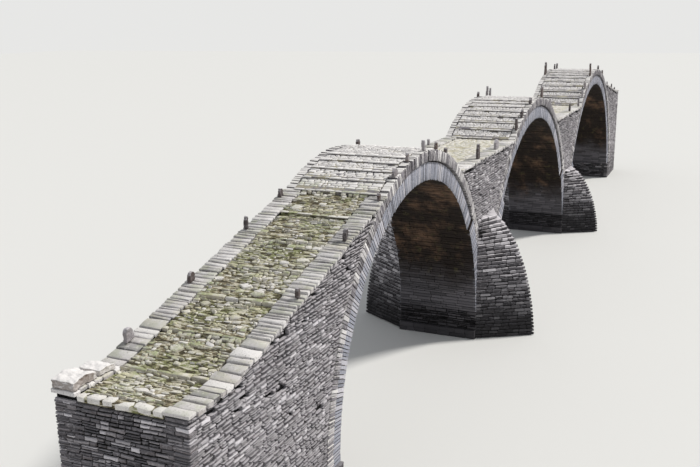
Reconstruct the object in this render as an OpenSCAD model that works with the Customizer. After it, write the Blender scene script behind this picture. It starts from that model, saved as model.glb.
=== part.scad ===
// Humpbacked footbridge of stone with three arches, at half its real size, in millimetres.
// The origin is under the middle of the bridge, on the floor that its piers stand on.
// X runs along the bridge from the near end to the far end, Y across it, and Z up.
// The right side is at -Y and the left side at +Y, as seen when walking from the near end.
// All stations are counted along X from the near end.

/* [Bridge] */
// Width over the faces of the side walls
bridge_w = 1450; // [1300:10:1700]
// Thickness of the side walls, and depth of the outer rings behind the face
wall_t = 250; // [200:10:300]
// Height of the level joint that the rings and side walls spring from
spring_z = 500; // [440:10:560]
// Length of the block under the near ramp, from the end of the bridge to the near opening
near_block_l = 3100; // [2800:50:3400]
// Length of the block under the far ramp, from the far opening to the end of the bridge
far_block_l = 1830; // [1700:10:2400]

/* [Arches] */
// Span of the near arch at the springing
arch_1_span = 5800; // [5200:20:6200]
// Rise of the near arch from the springing to its crown
arch_1_rise = 2900; // [2600:10:3000]
// Span of the middle arch at the springing
arch_2_span = 7290; // [6600:20:7900]
// Rise of the middle arch from the springing to its crown
arch_2_rise = 2970; // [2700:10:3200]
// Span of the far arch at the springing
arch_3_span = 7840; // [7100:20:8400]
// Rise of the far arch from the springing to its crown
arch_3_rise = 3105; // [2850:5:3400]

/* [Rings] */
// Thickness of the inner ring, measured along the radius
inner_ring_t = 280; // [240:10:320]
// Thickness of the outer ring, measured along the radius
outer_ring_t = 170; // [160:10:200]
// Width of the crest that an outer ring shows beside the treads on the humps
crest_w = 130; // [110:5:180]
// How far the face of the inner ring stands back under the outer ring
ring_recess = 40; // [15:5:60]

/* [Piers] */
// Length of the near pier along the bridge, between two openings at the springing
pier_1_l = 1160; // [1040:10:1300]
// Length of the far pier along the bridge, between two openings at the springing
pier_2_l = 980; // [880:10:1200]
// How far the footing of a pier stands out under the arches
footing_out = 60; // [20:10:100]
// Height of the footing of a pier
footing_h = 160; // [100:10:240]
// Height of one course of a cutwater
cutwater_course_h = 65; // [58:1:72]
// Number of courses in the cutwaters of the near pier
cutwater_1_courses = 34; // [30:1:36]
// Number of courses in the cutwaters of the far pier
cutwater_2_courses = 26; // [22:1:28]
// How far the noses of the near pier stand out from the wall at the floor
cutwater_1_out = 950; // [700:10:1000]
// How far the noses of the far pier stand out from the wall at the floor
cutwater_2_out = 870; // [700:10:1000]
// How soon the noses lean back: 1 is a straight lean, and 3 stays upright longest
cutwater_fullness = 1.6; // [1:0.1:3]

/* [Roadway] */
// How far the near ramp meets the hump below the crown of the near arch
near_ramp_drop = 350; // [300:10:400]
// How far the near ramp falls from the hump to the near end
near_ramp_fall = 1000; // [900:10:1100]
// Length of the level landing at the near end
near_landing_l = 680; // [680:10:900]
// How far the near dip lies below the crowns beside it, taken as their mean
dip_1_drop = 595; // [540:5:650]
// How far the far dip lies below the crowns beside it, taken as their mean
dip_2_drop = 780; // [700:5:840]
// How far the far ramp meets the hump below the crown of the far arch
far_ramp_drop = 575; // [520:5:640]
// How far the far ramp falls from the hump to the far end
far_ramp_fall = 480; // [400:10:560]
// Length of the level landing at the far end
far_landing_l = 600; // [400:10:800]
// Thickness of a paving slab where its tread is thinnest
paving_t = 80; // [60:5:90]
// Width of the open joint between two paving slabs
paving_joint = 4; // [2:1:10]
// How far the paving lies below the edges of the roadway
kerb_up = 20; // [5:5:30]
// Height of the riser at the foot of a tread on the humps
riser_h = 40; // [30:5:60]
// Height of the riser at the foot of a tread on the ramps
ramp_riser_h = 25; // [15:5:40]
// Aimed length of a tread on the humps
hump_tread_l = 260; // [220:10:320]
// Aimed length of a tread on the ramps and of a slab in the dips
ramp_tread_l = 640; // [500:10:1300]
// Length of the level tread on each crown
crown_tread_l = 900; // [300:20:920]

/* [Edges] */
// Thickness of the coping slabs on the side walls
coping_t = 60; // [45:5:80]
// How far the coping stands out from the face of the side walls
coping_out = 30; // [10:5:50]
// How far the thin tips of the side walls are cut back under the coping
wall_tip_cut = 25; // [15:5:40]
// Thickness of an upright edge stone across the bridge
stone_t = 50; // [40:2:64]
// How far an upright edge stone stands in from the face of the side walls
stone_in = 25; // [10:5:40]
// Length of the shortest upright edge stones along the bridge
stone_l_min = 60; // [50:5:90]
// Length of the longest upright edge stones along the bridge
stone_l_max = 200; // [120:10:240]
// Height of the lowest upright edge stones
stone_h_min = 90; // [70:5:120]
// Height of the tallest upright edge stones
stone_h_max = 370; // [250:10:420]
// How far upright edge stones lean along the bridge, as a share of their height
stone_lean = 0.1; // [0:0.01:0.15]
// Length of the larger of the two blocks that lie on the coping at the near end
end_block_l = 340; // [260:10:350]
// Width of the blocks at the near end, across the bridge
end_block_w = 250; // [160:10:270]
// Height of the larger block at the near end
end_block_h = 105; // [70:5:140]
// Gap between the two blocks at the near end
end_block_gap = 20; // [10:5:40]
// Size of the smaller block as a share of the larger one
end_block_share = 0.7; // [0.5:0.05:0.8]

/* [Hidden] */
$fn = 360;
right = -1;
left = 1;
span = [arch_1_span, arch_2_span, arch_3_span];
rise = [arch_1_rise, arch_2_rise, arch_3_rise];
pier_l = [pier_1_l, pier_2_l];
cutwater_out = [cutwater_1_out, cutwater_2_out];
cutwater_h = [cutwater_1_courses * cutwater_course_h, cutwater_2_courses * cutwater_course_h];

// Stations where each opening begins and ends at the springing, with a pier between two of them
opening_from = [
    near_block_l,
    near_block_l + span[0] + pier_l[0],
    near_block_l + span[0] + pier_l[0] + span[1] + pier_l[1]
];
opening_to = opening_from + span;
bridge_l = opening_to[2] + far_block_l;

// Circle of each arch, through its two springings and its crown
arch_x = (opening_from + opening_to) / 2;
arch_r = [for (arch = [0:2]) (pow(span[arch] / 2, 2) + pow(rise[arch], 2)) / (2 * rise[arch])];
arch_z = [for (arch = [0:2]) spring_z + rise[arch] - arch_r[arch]];
mid_r = [for (r = arch_r) r + inner_ring_t];
outer_r = [for (r = mid_r) r + outer_ring_t];
crown_z = arch_z + outer_r;

// Height of the edge of the roadway where it isn't on a hump
near_ramp_top_z = crown_z[0] - near_ramp_drop;
near_end_z = near_ramp_top_z - near_ramp_fall;
dip_1_z = (crown_z[0] + crown_z[1]) / 2 - dip_1_drop;
dip_2_z = (crown_z[1] + crown_z[2]) / 2 - dip_2_drop;
far_ramp_top_z = crown_z[2] - far_ramp_drop;
far_end_z = far_ramp_top_z - far_ramp_fall;

// Half the width of the outer ring of an arch, at one height
function reach(arch, z) = sqrt(pow(outer_r[arch], 2) - pow(z - arch_z[arch], 2));
// Height of the outer ring of an arch at one station
function ring_top(arch, x) = arch_z[arch] + sqrt(pow(outer_r[arch], 2) - pow(x - arch_x[arch], 2));

// Stations where each hump rises out of the ramp or dip before it, and ends at the one after it
hump_from = [
    arch_x[0] - reach(0, near_ramp_top_z),
    arch_x[1] - reach(1, dip_1_z),
    arch_x[2] - reach(2, dip_2_z)
];
hump_to = [
    arch_x[0] + reach(0, dip_1_z),
    arch_x[1] + reach(1, dip_2_z),
    arch_x[2] + reach(2, far_ramp_top_z)
];
far_ramp_end = bridge_l - far_landing_l;

// The edge of the roadway between the humps, as corners of straight stretches, one list a bay
edges = [
    [[0, near_end_z], [near_landing_l, near_end_z], [hump_from[0], near_ramp_top_z]],
    [[hump_to[0], dip_1_z], [hump_from[1], dip_1_z]],
    [[hump_to[1], dip_2_z], [hump_from[2], dip_2_z]],
    [[hump_to[2], far_ramp_top_z], [far_ramp_end, far_end_z], [bridge_l, far_end_z]]
];

// Height of the edge of the roadway at one station
function edge_z(x) =
    let (on = [for (arch = [0:2]) if (x > hump_from[arch] && x < hump_to[arch]) arch])
    len(on) > 0 ? ring_top(on[0], x) : lookup(x, [for (edge = edges) each edge]);
// Height of the bed under the paving at one station where a slab begins or ends
function bed_z(x) = edge_z(x) - kerb_up - paving_t;

// Stations where the slabs of one run begin and end, as near to the aimed length as they divide
function slab_ends(from, to, aim) =
    let (count = max(1, round((to - from) / aim)))
    [for (k = [0:count]) from + (to - from) * k / count];
near_ramp_slabs = slab_ends(near_landing_l, hump_from[0], ramp_tread_l);
far_ramp_slabs = slab_ends(hump_to[2], far_ramp_end, ramp_tread_l);
dip_slabs = [for (dip = [0, 1]) slab_ends(hump_to[dip], hump_from[dip + 1], ramp_tread_l)];
climb_slabs = [
    for (arch = [0:2]) slab_ends(hump_from[arch], arch_x[arch] - crown_tread_l / 2, hump_tread_l)
];
descent_slabs = [
    for (arch = [0:2]) slab_ends(arch_x[arch] + crown_tread_l / 2, hump_to[arch], hump_tread_l)
];
// The bed under all slabs, from one end of the bridge to the other
bed = [
    for (x = concat(
        [0], near_ramp_slabs, climb_slabs[0], descent_slabs[0],
        dip_slabs[0], climb_slabs[1], descent_slabs[1],
        dip_slabs[1], climb_slabs[2], descent_slabs[2],
        far_ramp_slabs, [bridge_l]
    )) [x, bed_z(x)]
];

// Makes a side view into a solid that reaches from one Y to another
module across(y_from, y_to) {
    translate([-bridge_l / 2, y_to, 0])
        rotate([90, 0, 0])
            linear_extrude(y_to - y_from)
                children();
}

// Makes a side view into a solid of the given depth behind the face of one side
module behind_face(side, depth, out = 0) {
    face = bridge_w / 2 + out;
    if (side == right)
        across(-face, -face + depth) children();
    else
        across(face - depth, face) children();
}

module arch_disc(arch, radius) {
    translate([arch_x[arch], arch_z[arch]])
        circle(radius);
}

// Discs of the arches on both sides of a bay, which cut its walls and fill to their curves
module discs_beside(bay, radii) {
    for (arch = [bay - 1, bay])
        if (arch >= 0 && arch <= 2)
            arch_disc(arch, radii[arch]);
}

// Side view of a ring, cut off level at the springing, and upright where two rings meet on a pier
module ring_view(arch, r_in, r_out) {
    from = arch == 0 ? 0 : opening_from[arch] - pier_l[arch - 1] / 2;
    to = arch == 2 ? bridge_l : opening_to[arch] + pier_l[arch] / 2;
    intersection() {
        difference() {
            arch_disc(arch, r_out);
            arch_disc(arch, r_in);
        }
        translate([from, spring_z])
            square([to - from, 2 * r_out]);
    }
}

// Barrel of one arch: its inner ring, which runs through under the roadway
module barrel(arch) {
    half = bridge_w / 2;
    color("dimgray") {
        across(-half + ring_recess, half - ring_recess)
            ring_view(arch, arch_r[arch], mid_r[arch]);
        // Beside a cutwater its lowest stones come out flush with the wall
        for (pier = [0, 1])
            if (pier == arch || pier == arch - 1)
                across(-half, half)
                    intersection() {
                        ring_view(arch, arch_r[arch], mid_r[arch]);
                        translate([arch_x[arch] - (pier == arch ? 0 : 2 * mid_r[arch]), 0])
                            square([2 * mid_r[arch], cutwater_h[pier]]);
                    }
    }
}

// Space over the bed of one hump, where the ends of its treads lie on the rings
module tread_space(arch) {
    on_hump = [for (p = bed) if (p[0] >= hump_from[arch] && p[0] <= hump_to[arch]) p];
    over = crown_z[arch] + riser_h;
    polygon(concat(on_hump, [[hump_to[arch], over], [hump_from[arch], over]]));
}

// Outer ring on one face, whose crest is the edge of the roadway on the hump
module outer_ring(arch, side) {
    color("lightslategray") {
        behind_face(side, crest_w)
            ring_view(arch, mid_r[arch], outer_r[arch]);
        behind_face(side, wall_t)
            difference() {
                ring_view(arch, mid_r[arch], outer_r[arch]);
                tread_space(arch);
            }
    }
}

// Pier from the floor to the springing, on a footing that stands out under the arches
module pier(index) {
    half = bridge_w / 2;
    color("gray")
        across(-half, half)
            translate([opening_to[index], 0]) {
                square([pier_l[index], spring_z]);
                translate([-footing_out, 0])
                    square([pier_l[index] + 2 * footing_out, footing_h]);
            }
}

// How far the nose of a cutwater stands out at one height
function nose_out(index, z) =
    cutwater_out[index] * sqrt(1 - pow(z / cutwater_h[index], cutwater_fullness));

// Pointed cutwater in stepped courses, whose nose leans back more and more as it rises
module cutwater(index, side) {
    half = pier_l[index] / 2;
    middle = opening_to[index] + half - bridge_l / 2;
    face = side * bridge_w / 2;
    color("slategray")
        for (z = [0:cutwater_course_h:cutwater_h[index] - cutwater_course_h / 2])
            translate([middle, 0, z])
                linear_extrude(cutwater_course_h)
                    polygon([[-half, face], [0, face + side * nose_out(index, z)], [half, face]]);
}

// Block under one ramp up to the springing, with the end wall that closes the fill
module abutment(from, to, end_from, end_z) {
    half = bridge_w / 2;
    color("gray") {
        across(-half, half)
            translate([from, 0])
                square([to - from, spring_z]);
        across(-half + wall_t, half - wall_t)
            translate([end_from, spring_z])
                square([wall_t, end_z - kerb_up - paving_t - spring_z]);
    }
}

module near_abutment() {
    abutment(0, opening_from[0], 0, near_end_z);
}

module far_abutment() {
    abutment(opening_to[2], bridge_l, bridge_l - wall_t, far_end_z);
}

// Station where a line through a corner meets the back of an outer ring, on its near or far flank
function flank_x(arch, corner, next, flank) =
    let (
        slope = (next[1] - corner[1]) / (next[0] - corner[0]),
        arm = corner - [arch_x[arch], arch_z[arch]],
        a = 1 + slope * slope,
        b = arm[0] + slope * arm[1],
        c = arm * arm - pow(outer_r[arch], 2)
    )
    corner[0] + (flank * sqrt(b * b - a * c) - b) / a;

// Side wall of one bay on one face, under its coping and against the outer rings
module side_wall(bay, side) {
    under = [for (p = edges[bay]) p - [0, coping_t]];
    last = len(under) - 1;
    foot_from = bay == 0 ? 0 : opening_to[bay - 1];
    foot_to = bay == 3 ? bridge_l : opening_from[bay];
    top_from = bay == 0 ? 0 : flank_x(bay - 1, under[0], under[1], 1) + wall_tip_cut;
    top_to = bay == 3 ? bridge_l : flank_x(bay, under[last], under[last - 1], -1) - wall_tip_cut;
    color("darkgray")
        behind_face(side, wall_t)
            difference() {
                intersection() {
                    polygon(concat([[foot_from, spring_z]], under, [[foot_to, spring_z]]));
                    translate([top_from, spring_z])
                        square([top_to - top_from, crown_z[2]]);
                }
                discs_beside(bay, outer_r);
            }
}

// Rubble fill of one bay between the side walls, from crown to crown, down onto the barrels
module fill(bay) {
    from = bay == 0 ? wall_t : arch_x[bay - 1];
    to = bay == 3 ? bridge_l - wall_t : arch_x[bay];
    top = concat(
        [[from, lookup(from, bed)]],
        [for (p = bed) if (p[0] > from && p[0] < to) p],
        [[to, lookup(to, bed)]]
    );
    half = bridge_w / 2;
    color("tan")
        across(-half + wall_t, half - wall_t)
            difference() {
                polygon(concat([[from, spring_z]], top, [[to, spring_z]]));
                discs_beside(bay, mid_r);
            }
}

// One run of paving slabs on the bed, with a riser at the near or the far end of each
module slabs(ends, riser_near, riser_far, edge_w = wall_t) {
    half = bridge_w / 2 - edge_w;
    color("khaki")
        for (k = [0:len(ends) - 2])
            let (
                run = [for (x = [ends[k], ends[k + 1]]) [x, bed_z(x)]],
                from = ends[k] + paving_joint / 2,
                to = ends[k + 1] - paving_joint / 2,
                from_z = lookup(from, run),
                to_z = lookup(to, run)
            )
                across(-half, half)
                    polygon([
                        [from, from_z],
                        [from, from_z + paving_t + riser_near],
                        [to, to_z + paving_t + riser_far],
                        [to, to_z]
                    ]);
}

module near_ramp_paving() {
    slabs([0, near_landing_l], 0, 0);
    slabs(near_ramp_slabs, ramp_riser_h, 0);
}

module far_ramp_paving() {
    slabs(far_ramp_slabs, 0, ramp_riser_h);
    slabs([far_ramp_end, bridge_l], 0, 0);
}

// Steps up one flank of a hump, the level tread on its crown, and steps down the other flank
module hump_steps(arch) {
    crown_ends = [for (end = [-1, 1]) arch_x[arch] + end * crown_tread_l / 2];
    slabs(climb_slabs[arch], riser_h, 0, crest_w);
    slabs(crown_ends, riser_h, riser_h, crest_w);
    slabs(descent_slabs[arch], 0, riser_h, crest_w);
}

// Coping slabs on the side walls of one face, in the four stretches between the rings
module coping(side) {
    color("gainsboro")
        behind_face(side, wall_t + coping_out, coping_out)
            difference() {
                for (edge = edges)
                    polygon(concat(
                        edge,
                        [for (k = [len(edge) - 1:-1:0]) [edge[k][0], edge[k][1] - coping_t]]
                    ));
                for (arch = [0:2])
                    arch_disc(arch, outer_r[arch]);
            }
}

// The seven stretches of the roadway that carry upright edge stones, ramps and dips and humps
stretches = [
    [0, hump_from[0]], [hump_from[0], hump_to[0]],
    [hump_to[0], hump_from[1]], [hump_from[1], hump_to[1]],
    [hump_to[1], hump_from[2]], [hump_from[2], hump_to[2]],
    [hump_to[2], bridge_l]
];
// Upright stones of each stretch: where they stand, how tall and how long they are, as shares
right_uprights = [
    [[0.47, 0.07, 0.00], [0.74, 0.19, 0.05], [0.97, 0.02, 0.00]],
    [[0.13, 0.07, 0.60], [0.27, 0.12, 0.00], [0.47, 0.26, 0.00], [0.64, 0.11, 0.00], [0.78, 0.03, 0.05]],
    [[0.31, 0.64, 0.55], [0.65, 0.32, 0.95]],
    [[0.07, 0.50, 0.35], [0.17, 0.29, 0.40], [0.34, 0.15, 0.60], [0.60, 0.60, 0.30], [0.82, 0.20, 0.10]],
    [[0.54, 0.40, 0.00], [0.93, 0.56, 0.05]],
    [[0.07, 0.31, 0.00], [0.15, 0.32, 0.30], [0.33, 1.00, 0.35], [0.66, 0.20, 0.10], [0.86, 0.30, 0.20]],
    [[0.19, 0.15, 0.30], [0.52, 0.25, 0.00], [0.76, 0.10, 0.20]]
];
left_uprights = [
    [[0.23, 0.19, 0.50], [0.48, 0.10, 0.35], [0.75, 0.27, 0.00], [0.95, 0.07, 0.25]],
    [[0.70, 0.10, 0.20], [0.90, 0.15, 0.00]],
    [[0.29, 0.05, 0.30], [0.67, 0.12, 0.10]],
    [[0.50, 0.11, 0.05], [0.67, 0.64, 0.05], [0.73, 0.65, 0.06], [0.90, 0.15, 0.20]],
    [[0.40, 0.10, 0.15], [0.85, 0.20, 0.00]],
    [[0.35, 1.00, 1.00], [0.65, 0.27, 0.00], [0.73, 0.50, 0.30], [0.79, 0.10, 0.00]],
    [[0.25, 0.12, 0.10], [0.72, 0.20, 0.25]]
];
// Side view of an upright stone with a rough head, whose foot follows the slope that carries it
module stone_view(length, height, lean, slope) {
    foot = length / 2;
    function at(along, up) = [along * length + up * height * lean, up * height];
    polygon([
        [-foot, -foot * slope], [foot, foot * slope],
        at(0.46, 0.72), at(0.16, 1), at(-0.22, 0.95), at(-0.47, 0.66)
    ]);
}

module edge_stones(side, uprights) {
    color("silver")
        behind_face(side, stone_t, -stone_in)
            for (k = [0:len(stretches) - 1], stone = uprights[k])
                let (x = stretches[k][0] + stone[0] * (stretches[k][1] - stretches[k][0]))
                    translate([x, edge_z(x)])
                        stone_view(
                            stone_l_min + stone[2] * (stone_l_max - stone_l_min),
                            stone_h_min + stone[1] * (stone_h_max - stone_h_min),
                            stone_lean * sin(x),
                            (edge_z(x + 1) - edge_z(x - 1)) / 2
                        );
}

// Rough block that lies on the left coping at the near end
module end_block(from, length, height) {
    color("silver")
        behind_face(left, end_block_w, coping_out / 2)
            translate([from, near_end_z])
                polygon([
                    [0, 0], [length, 0], [0.94 * length, 0.70 * height],
                    [0.55 * length, height], [0.05 * length, 0.78 * height]
                ]);
}

module end_blocks() {
    end_block(0, end_block_l, end_block_h);
    end_block(end_block_l + end_block_gap, end_block_share * end_block_l, end_block_share * end_block_h);
}

near_abutment();
far_abutment();
pier(0);  // pier_1
pier(1);  // pier_2
cutwater(0, right);  // pier_1_cutwater_right
cutwater(0, left);  // pier_1_cutwater_left
cutwater(1, right);  // pier_2_cutwater_right
cutwater(1, left);  // pier_2_cutwater_left
barrel(0);  // arch_1_barrel
barrel(1);  // arch_2_barrel
barrel(2);  // arch_3_barrel
outer_ring(0, right);  // arch_1_outer_ring_right
outer_ring(0, left);  // arch_1_outer_ring_left
outer_ring(1, right);  // arch_2_outer_ring_right
outer_ring(1, left);  // arch_2_outer_ring_left
outer_ring(2, right);  // arch_3_outer_ring_right
outer_ring(2, left);  // arch_3_outer_ring_left
side_wall(0, right);  // near_wall_right
side_wall(0, left);  // near_wall_left
side_wall(1, right);  // pier_1_wall_right
side_wall(1, left);  // pier_1_wall_left
side_wall(2, right);  // pier_2_wall_right
side_wall(2, left);  // pier_2_wall_left
side_wall(3, right);  // far_wall_right
side_wall(3, left);  // far_wall_left
fill(0);  // near_fill
fill(1);  // pier_1_fill
fill(2);  // pier_2_fill
fill(3);  // far_fill
near_ramp_paving();
hump_steps(0);  // hump_1_steps
slabs(dip_slabs[0], 0, 0);  // dip_1_paving
hump_steps(1);  // hump_2_steps
slabs(dip_slabs[1], 0, 0);  // dip_2_paving
hump_steps(2);  // hump_3_steps
far_ramp_paving();
coping(right);  // right_coping
coping(left);  // left_coping
edge_stones(right, right_uprights);  // right_edge_stones
edge_stones(left, left_uprights);  // left_edge_stones
end_blocks();
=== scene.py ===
"""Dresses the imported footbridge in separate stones: walls, rings, cutwaters, paving, coping and uprights.

Everything is in metres at the model's own scale, half of the real bridge. X runs along the bridge,
the right side is at -Y, and Z is up from the floor under the piers.
"""

import math

import bpy
import numpy as np
from bpy.props import FloatProperty, FloatVectorProperty, PointerProperty
from mathutils import Matrix, Vector, noise
from mathutils.bvhtree import BVHTree


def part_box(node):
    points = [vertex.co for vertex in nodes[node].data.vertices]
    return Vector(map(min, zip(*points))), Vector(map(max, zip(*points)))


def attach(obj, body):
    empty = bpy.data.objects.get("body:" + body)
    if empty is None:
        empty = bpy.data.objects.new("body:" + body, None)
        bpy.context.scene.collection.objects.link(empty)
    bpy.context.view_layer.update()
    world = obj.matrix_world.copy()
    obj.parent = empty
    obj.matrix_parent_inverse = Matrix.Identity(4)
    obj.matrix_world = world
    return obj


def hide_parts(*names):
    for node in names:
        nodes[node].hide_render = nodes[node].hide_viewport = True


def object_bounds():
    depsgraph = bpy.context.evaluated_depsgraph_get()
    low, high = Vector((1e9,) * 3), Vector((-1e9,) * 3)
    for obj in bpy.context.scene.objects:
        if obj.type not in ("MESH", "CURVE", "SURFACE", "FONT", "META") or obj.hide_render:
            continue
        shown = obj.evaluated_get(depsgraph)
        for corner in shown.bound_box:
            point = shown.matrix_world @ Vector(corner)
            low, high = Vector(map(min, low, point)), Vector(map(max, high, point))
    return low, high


bl_info = {
    "name": "Stone footbridge",
    "version": (1, 0, 0),
    "blender": (4, 5, 0),
    "location": "View3D > Sidebar > Footbridge",
    "description": "Lays the stones of the humpbacked footbridge over its packed solids",
    "category": "Object",
}

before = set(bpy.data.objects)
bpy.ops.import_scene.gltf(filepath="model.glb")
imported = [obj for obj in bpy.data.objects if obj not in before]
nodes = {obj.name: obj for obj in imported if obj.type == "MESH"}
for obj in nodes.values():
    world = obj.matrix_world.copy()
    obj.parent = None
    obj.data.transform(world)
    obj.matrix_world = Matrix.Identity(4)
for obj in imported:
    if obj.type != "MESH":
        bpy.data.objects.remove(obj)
cad_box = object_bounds()

SIDES = {"right": -1, "left": 1}
WALLS = ("near", "pier_1", "pier_2", "far")
PAVING = {
    "near_ramp_paving": "mossy", "hump_1_steps": "worn", "dip_1_paving": "sandy", "hump_2_steps": "worn",
    "dip_2_paving": "sandy", "hump_3_steps": "worn", "far_ramp_paving": "mossy",
}
FACE_Y = -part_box("near_wall_right")[0].y
WALL_INNER_Y = -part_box("near_wall_right")[1].y
END_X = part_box("left_coping")[1].x
SPRING_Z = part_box("arch_1_outer_ring_right")[0].z

# Vertices nearer to each other than this lie at one place
SAME_PLACE = 2e-4
# How far stones stay inside the box of all solids, and short of what they meet
BOX_INSET = 0.0002
CLEAR = 0.002
# How deep the mortar lies behind the stones of each kind of piece
CORE_DEPTHS = {
    "wall": 0.045, "outer_ring": 0.036, "barrel": 0.024, "cutwater": 0.02, "pier": 0.02, "abutment": 0.022,
    "coping": 0.036,
}


def length(name, description, default):
    """A size in metres that a user would change."""
    return FloatProperty(
        name=name, description=description, default=default, subtype="DISTANCE", unit="LENGTH"
    )


def colour(name, description, *screen):
    """A colour given as it looks on a screen, from 0 to 255, and kept as linear values."""
    linear = [((v / 255 + 0.055) / 1.055) ** 2.4 if v > 10 else v / 3294.6 for v in screen]
    return FloatVectorProperty(
        name=name, description=description, default=linear, subtype="COLOR", size=3, min=0, max=1
    )


class FootbridgeStoneSizes(bpy.types.PropertyGroup):
    joint: length("Joint", "Open joint between two dressed stones", 0.005)
    bed_joint: length("Bed joint", "Open joint between two courses of the walls", 0.019)
    head_joint: length("Head joint", "Open joint between two stones of a course in the walls", 0.009)
    wear: length("Wear", "How far the edges of a stone are worn back", 0.006)
    course_low: length("Lowest course", "Height of the lowest course in the walls", 0.034)
    course_high: length("Highest course", "Height of the highest course in the walls", 0.056)
    wall_stone_short: length("Shortest wall stone", "Length of the shortest stone in the walls", 0.06)
    wall_stone_long: length("Longest wall stone", "Length of the longest stone in the walls", 0.21)
    ring_stone: length("Ring stone", "Thickness of a ring stone along the arch", 0.05)
    coping_stone: length("Coping stone", "Usual width of a coping stone on the ramps", 0.062)
    coping_slab: length("Coping slab", "Usual width of a coping slab at the ends and in the dips", 0.12)


class FootbridgeColours(bpy.types.PropertyGroup):
    wall_pale: colour("Pale wall stone", "Lightest stones of the side walls", 228, 224, 229)
    wall_grey: colour("Grey wall stone", "Usual stones of the side walls", 146, 142, 148)
    wall_dark: colour("Dark wall stone", "Darkest stones of the side walls", 84, 82, 86)
    ring_blue: colour("Blue-grey ring stone", "Usual stones of the inner rings", 164, 167, 180)
    # Scaled far darker, this colour is also the painted shade under the arches.
    soffit: colour("Soffit", "Damp, rusty stone under the arches", 110, 85, 66)
    cap_pale: colour("Pale limestone", "Coping, crests and crowns", 243, 240, 239)
    straw: colour("Straw", "Dry moss and grit on the roadway", 224, 216, 178)
    moss: colour("Moss", "Green and yellow moss on the ramps", 142, 158, 86)
    slab_brown: colour("Brown slab", "Brown faces of the upright stones", 108, 84, 66)
    mortar: colour("Mortar", "Shaded mortar and earth deep in the joints", 26, 25, 24)
    floor: colour("Floor", "Pale floor of the stage", 230, 230, 228)


def sizes():
    """The sizes of the stones, as the scene has them."""
    return bpy.context.scene.footbridge_sizes


def colours():
    """The colours of the stones, as the scene has them."""
    return bpy.context.scene.footbridge_colours


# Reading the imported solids

def points(node):
    """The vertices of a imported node."""
    mesh = nodes[node].data
    co = np.empty(len(mesh.vertices) * 3, np.float32)
    mesh.vertices.foreach_get("co", co)
    return co.reshape(-1, 3).astype(float)


def triangles(node):
    """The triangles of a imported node, as numbers of its vertices."""
    mesh = nodes[node].data
    mesh.calc_loop_triangles()
    tri = np.empty(len(mesh.loop_triangles) * 3, np.int32)
    mesh.loop_triangles.foreach_get("vertices", tri)
    return tri.reshape(-1, 3)


def welded(node):
    """Vertices and triangles of a node, with the vertices that lie on each other made one."""
    unique, back = np.unique(np.round(points(node), 5), axis=0, return_inverse=True)
    tri = back.reshape(-1)[triangles(node)]
    keep = (tri[:, 0] != tri[:, 1]) & (tri[:, 1] != tri[:, 2]) & (tri[:, 0] != tri[:, 2])
    return unique, tri[keep]


def core(node, depth, same_way=0.985, furthest=2.5, sliver=1e-12):
    """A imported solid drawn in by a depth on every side: the mortar behind its stones. Faces whose directions'
    product is over same_way move as one, a sharp corner moves furthest depths at most, and slivers of a
    triangle don't count."""
    co, tri = welded(node)
    a, b, c = (co[tri[:, k]] for k in range(3))
    normal = np.cross(b - a, c - a)
    area = np.linalg.norm(normal, axis=1)
    good = area > sliver
    normal[good] /= area[good, None]
    around = [[] for _ in co]
    for face in np.flatnonzero(good):
        for corner in tri[face]:
            around[corner].append(face)
    moved = co.copy()
    for corner, faces in enumerate(around):
        distinct = []
        for face in sorted(faces, key=lambda f: -area[f]):
            if all(normal[face] @ n < same_way for n in distinct):
                distinct.append(normal[face])
        step, *_ = np.linalg.lstsq(np.array(distinct), np.full(len(distinct), -depth), rcond=None)
        moved[corner] += step * min(1.0, furthest * depth / np.linalg.norm(step))
    return moved, tri


def bedding(node, down, inner, outer):
    """A node's solid moved down, and held between two distances from the middle of the bridge: the mortar
    under coping or slabs."""
    co, tri = welded(node)
    co[:, 2] -= down
    co[:, 1] = np.sign(co[:, 1]) * np.clip(np.abs(co[:, 1]), inner, outer)
    co[:, 0] = np.clip(co[:, 0], down - END_X, END_X - down)
    return co, tri


def top_profile(node, y, x_from, x_to, step, sky=9):
    """X stations, and the heights where a drop from the sky meets a node, or nan where it misses."""
    target = BVHTree.FromPolygons(points(node).tolist(), triangles(node).tolist())
    xs = np.arange(x_from, x_to + step / 2, step)
    hits = [target.ray_cast(Vector((x, y, sky)), Vector((0, 0, -1)))[0] for x in xs]
    return xs, np.array([np.nan if hit is None else hit.z for hit in hits])


class Arch:
    """Circle, springing and rings of one arch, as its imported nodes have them."""

    def __init__(self, index):
        low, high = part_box(f"arch_{index}_outer_ring_right")
        self.index = index
        self.spring = low.z
        self.x = (low.x + high.x) / 2
        self.outer, self.z = self.circle(low, high)
        self.middle, _ = self.circle(*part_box(f"arch_{index}_barrel"))
        barrel = points(f"arch_{index}_barrel")
        self.inner = np.hypot(barrel[:, 0] - self.x, barrel[:, 2] - self.z).min()
        halves = np.round(np.abs(barrel[:, 1]), 4)
        self.recessed_half, self.full_half = halves.min(), halves.max()

    @staticmethod
    def circle(low, high):
        """Radius of a ring's back and height of its centre, from the ring's box."""
        half, rise = (high.x - low.x) / 2, high.z - low.z
        radius = (half ** 2 + rise ** 2) / (2 * rise)
        return radius, high.z - radius

    def springing_angle(self, radius):
        """Where a circle of the arch meets the springing, at its far end."""
        return math.asin((self.spring - self.z) / radius)

    def at(self, angle, radius, y):
        """A point of the ring at an angle and a radius."""
        return (self.x + radius * math.cos(angle), y, self.z + radius * math.sin(angle))

    def back(self, x):
        """Height of the outer ring at one X, or the springing where it doesn't reach."""
        inside = self.outer ** 2 - (x - self.x) ** 2
        return np.where(inside > 0, self.z + np.sqrt(np.maximum(inside, 0)), self.spring)

    def mouth(self):
        """Near and far end of the passage at the springing."""
        half = self.inner * math.cos(self.springing_angle(self.inner))
        return self.x - half, self.x + half


ARCHES = [Arch(index) for index in (1, 2, 3)]


# Stones in bulk

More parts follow.
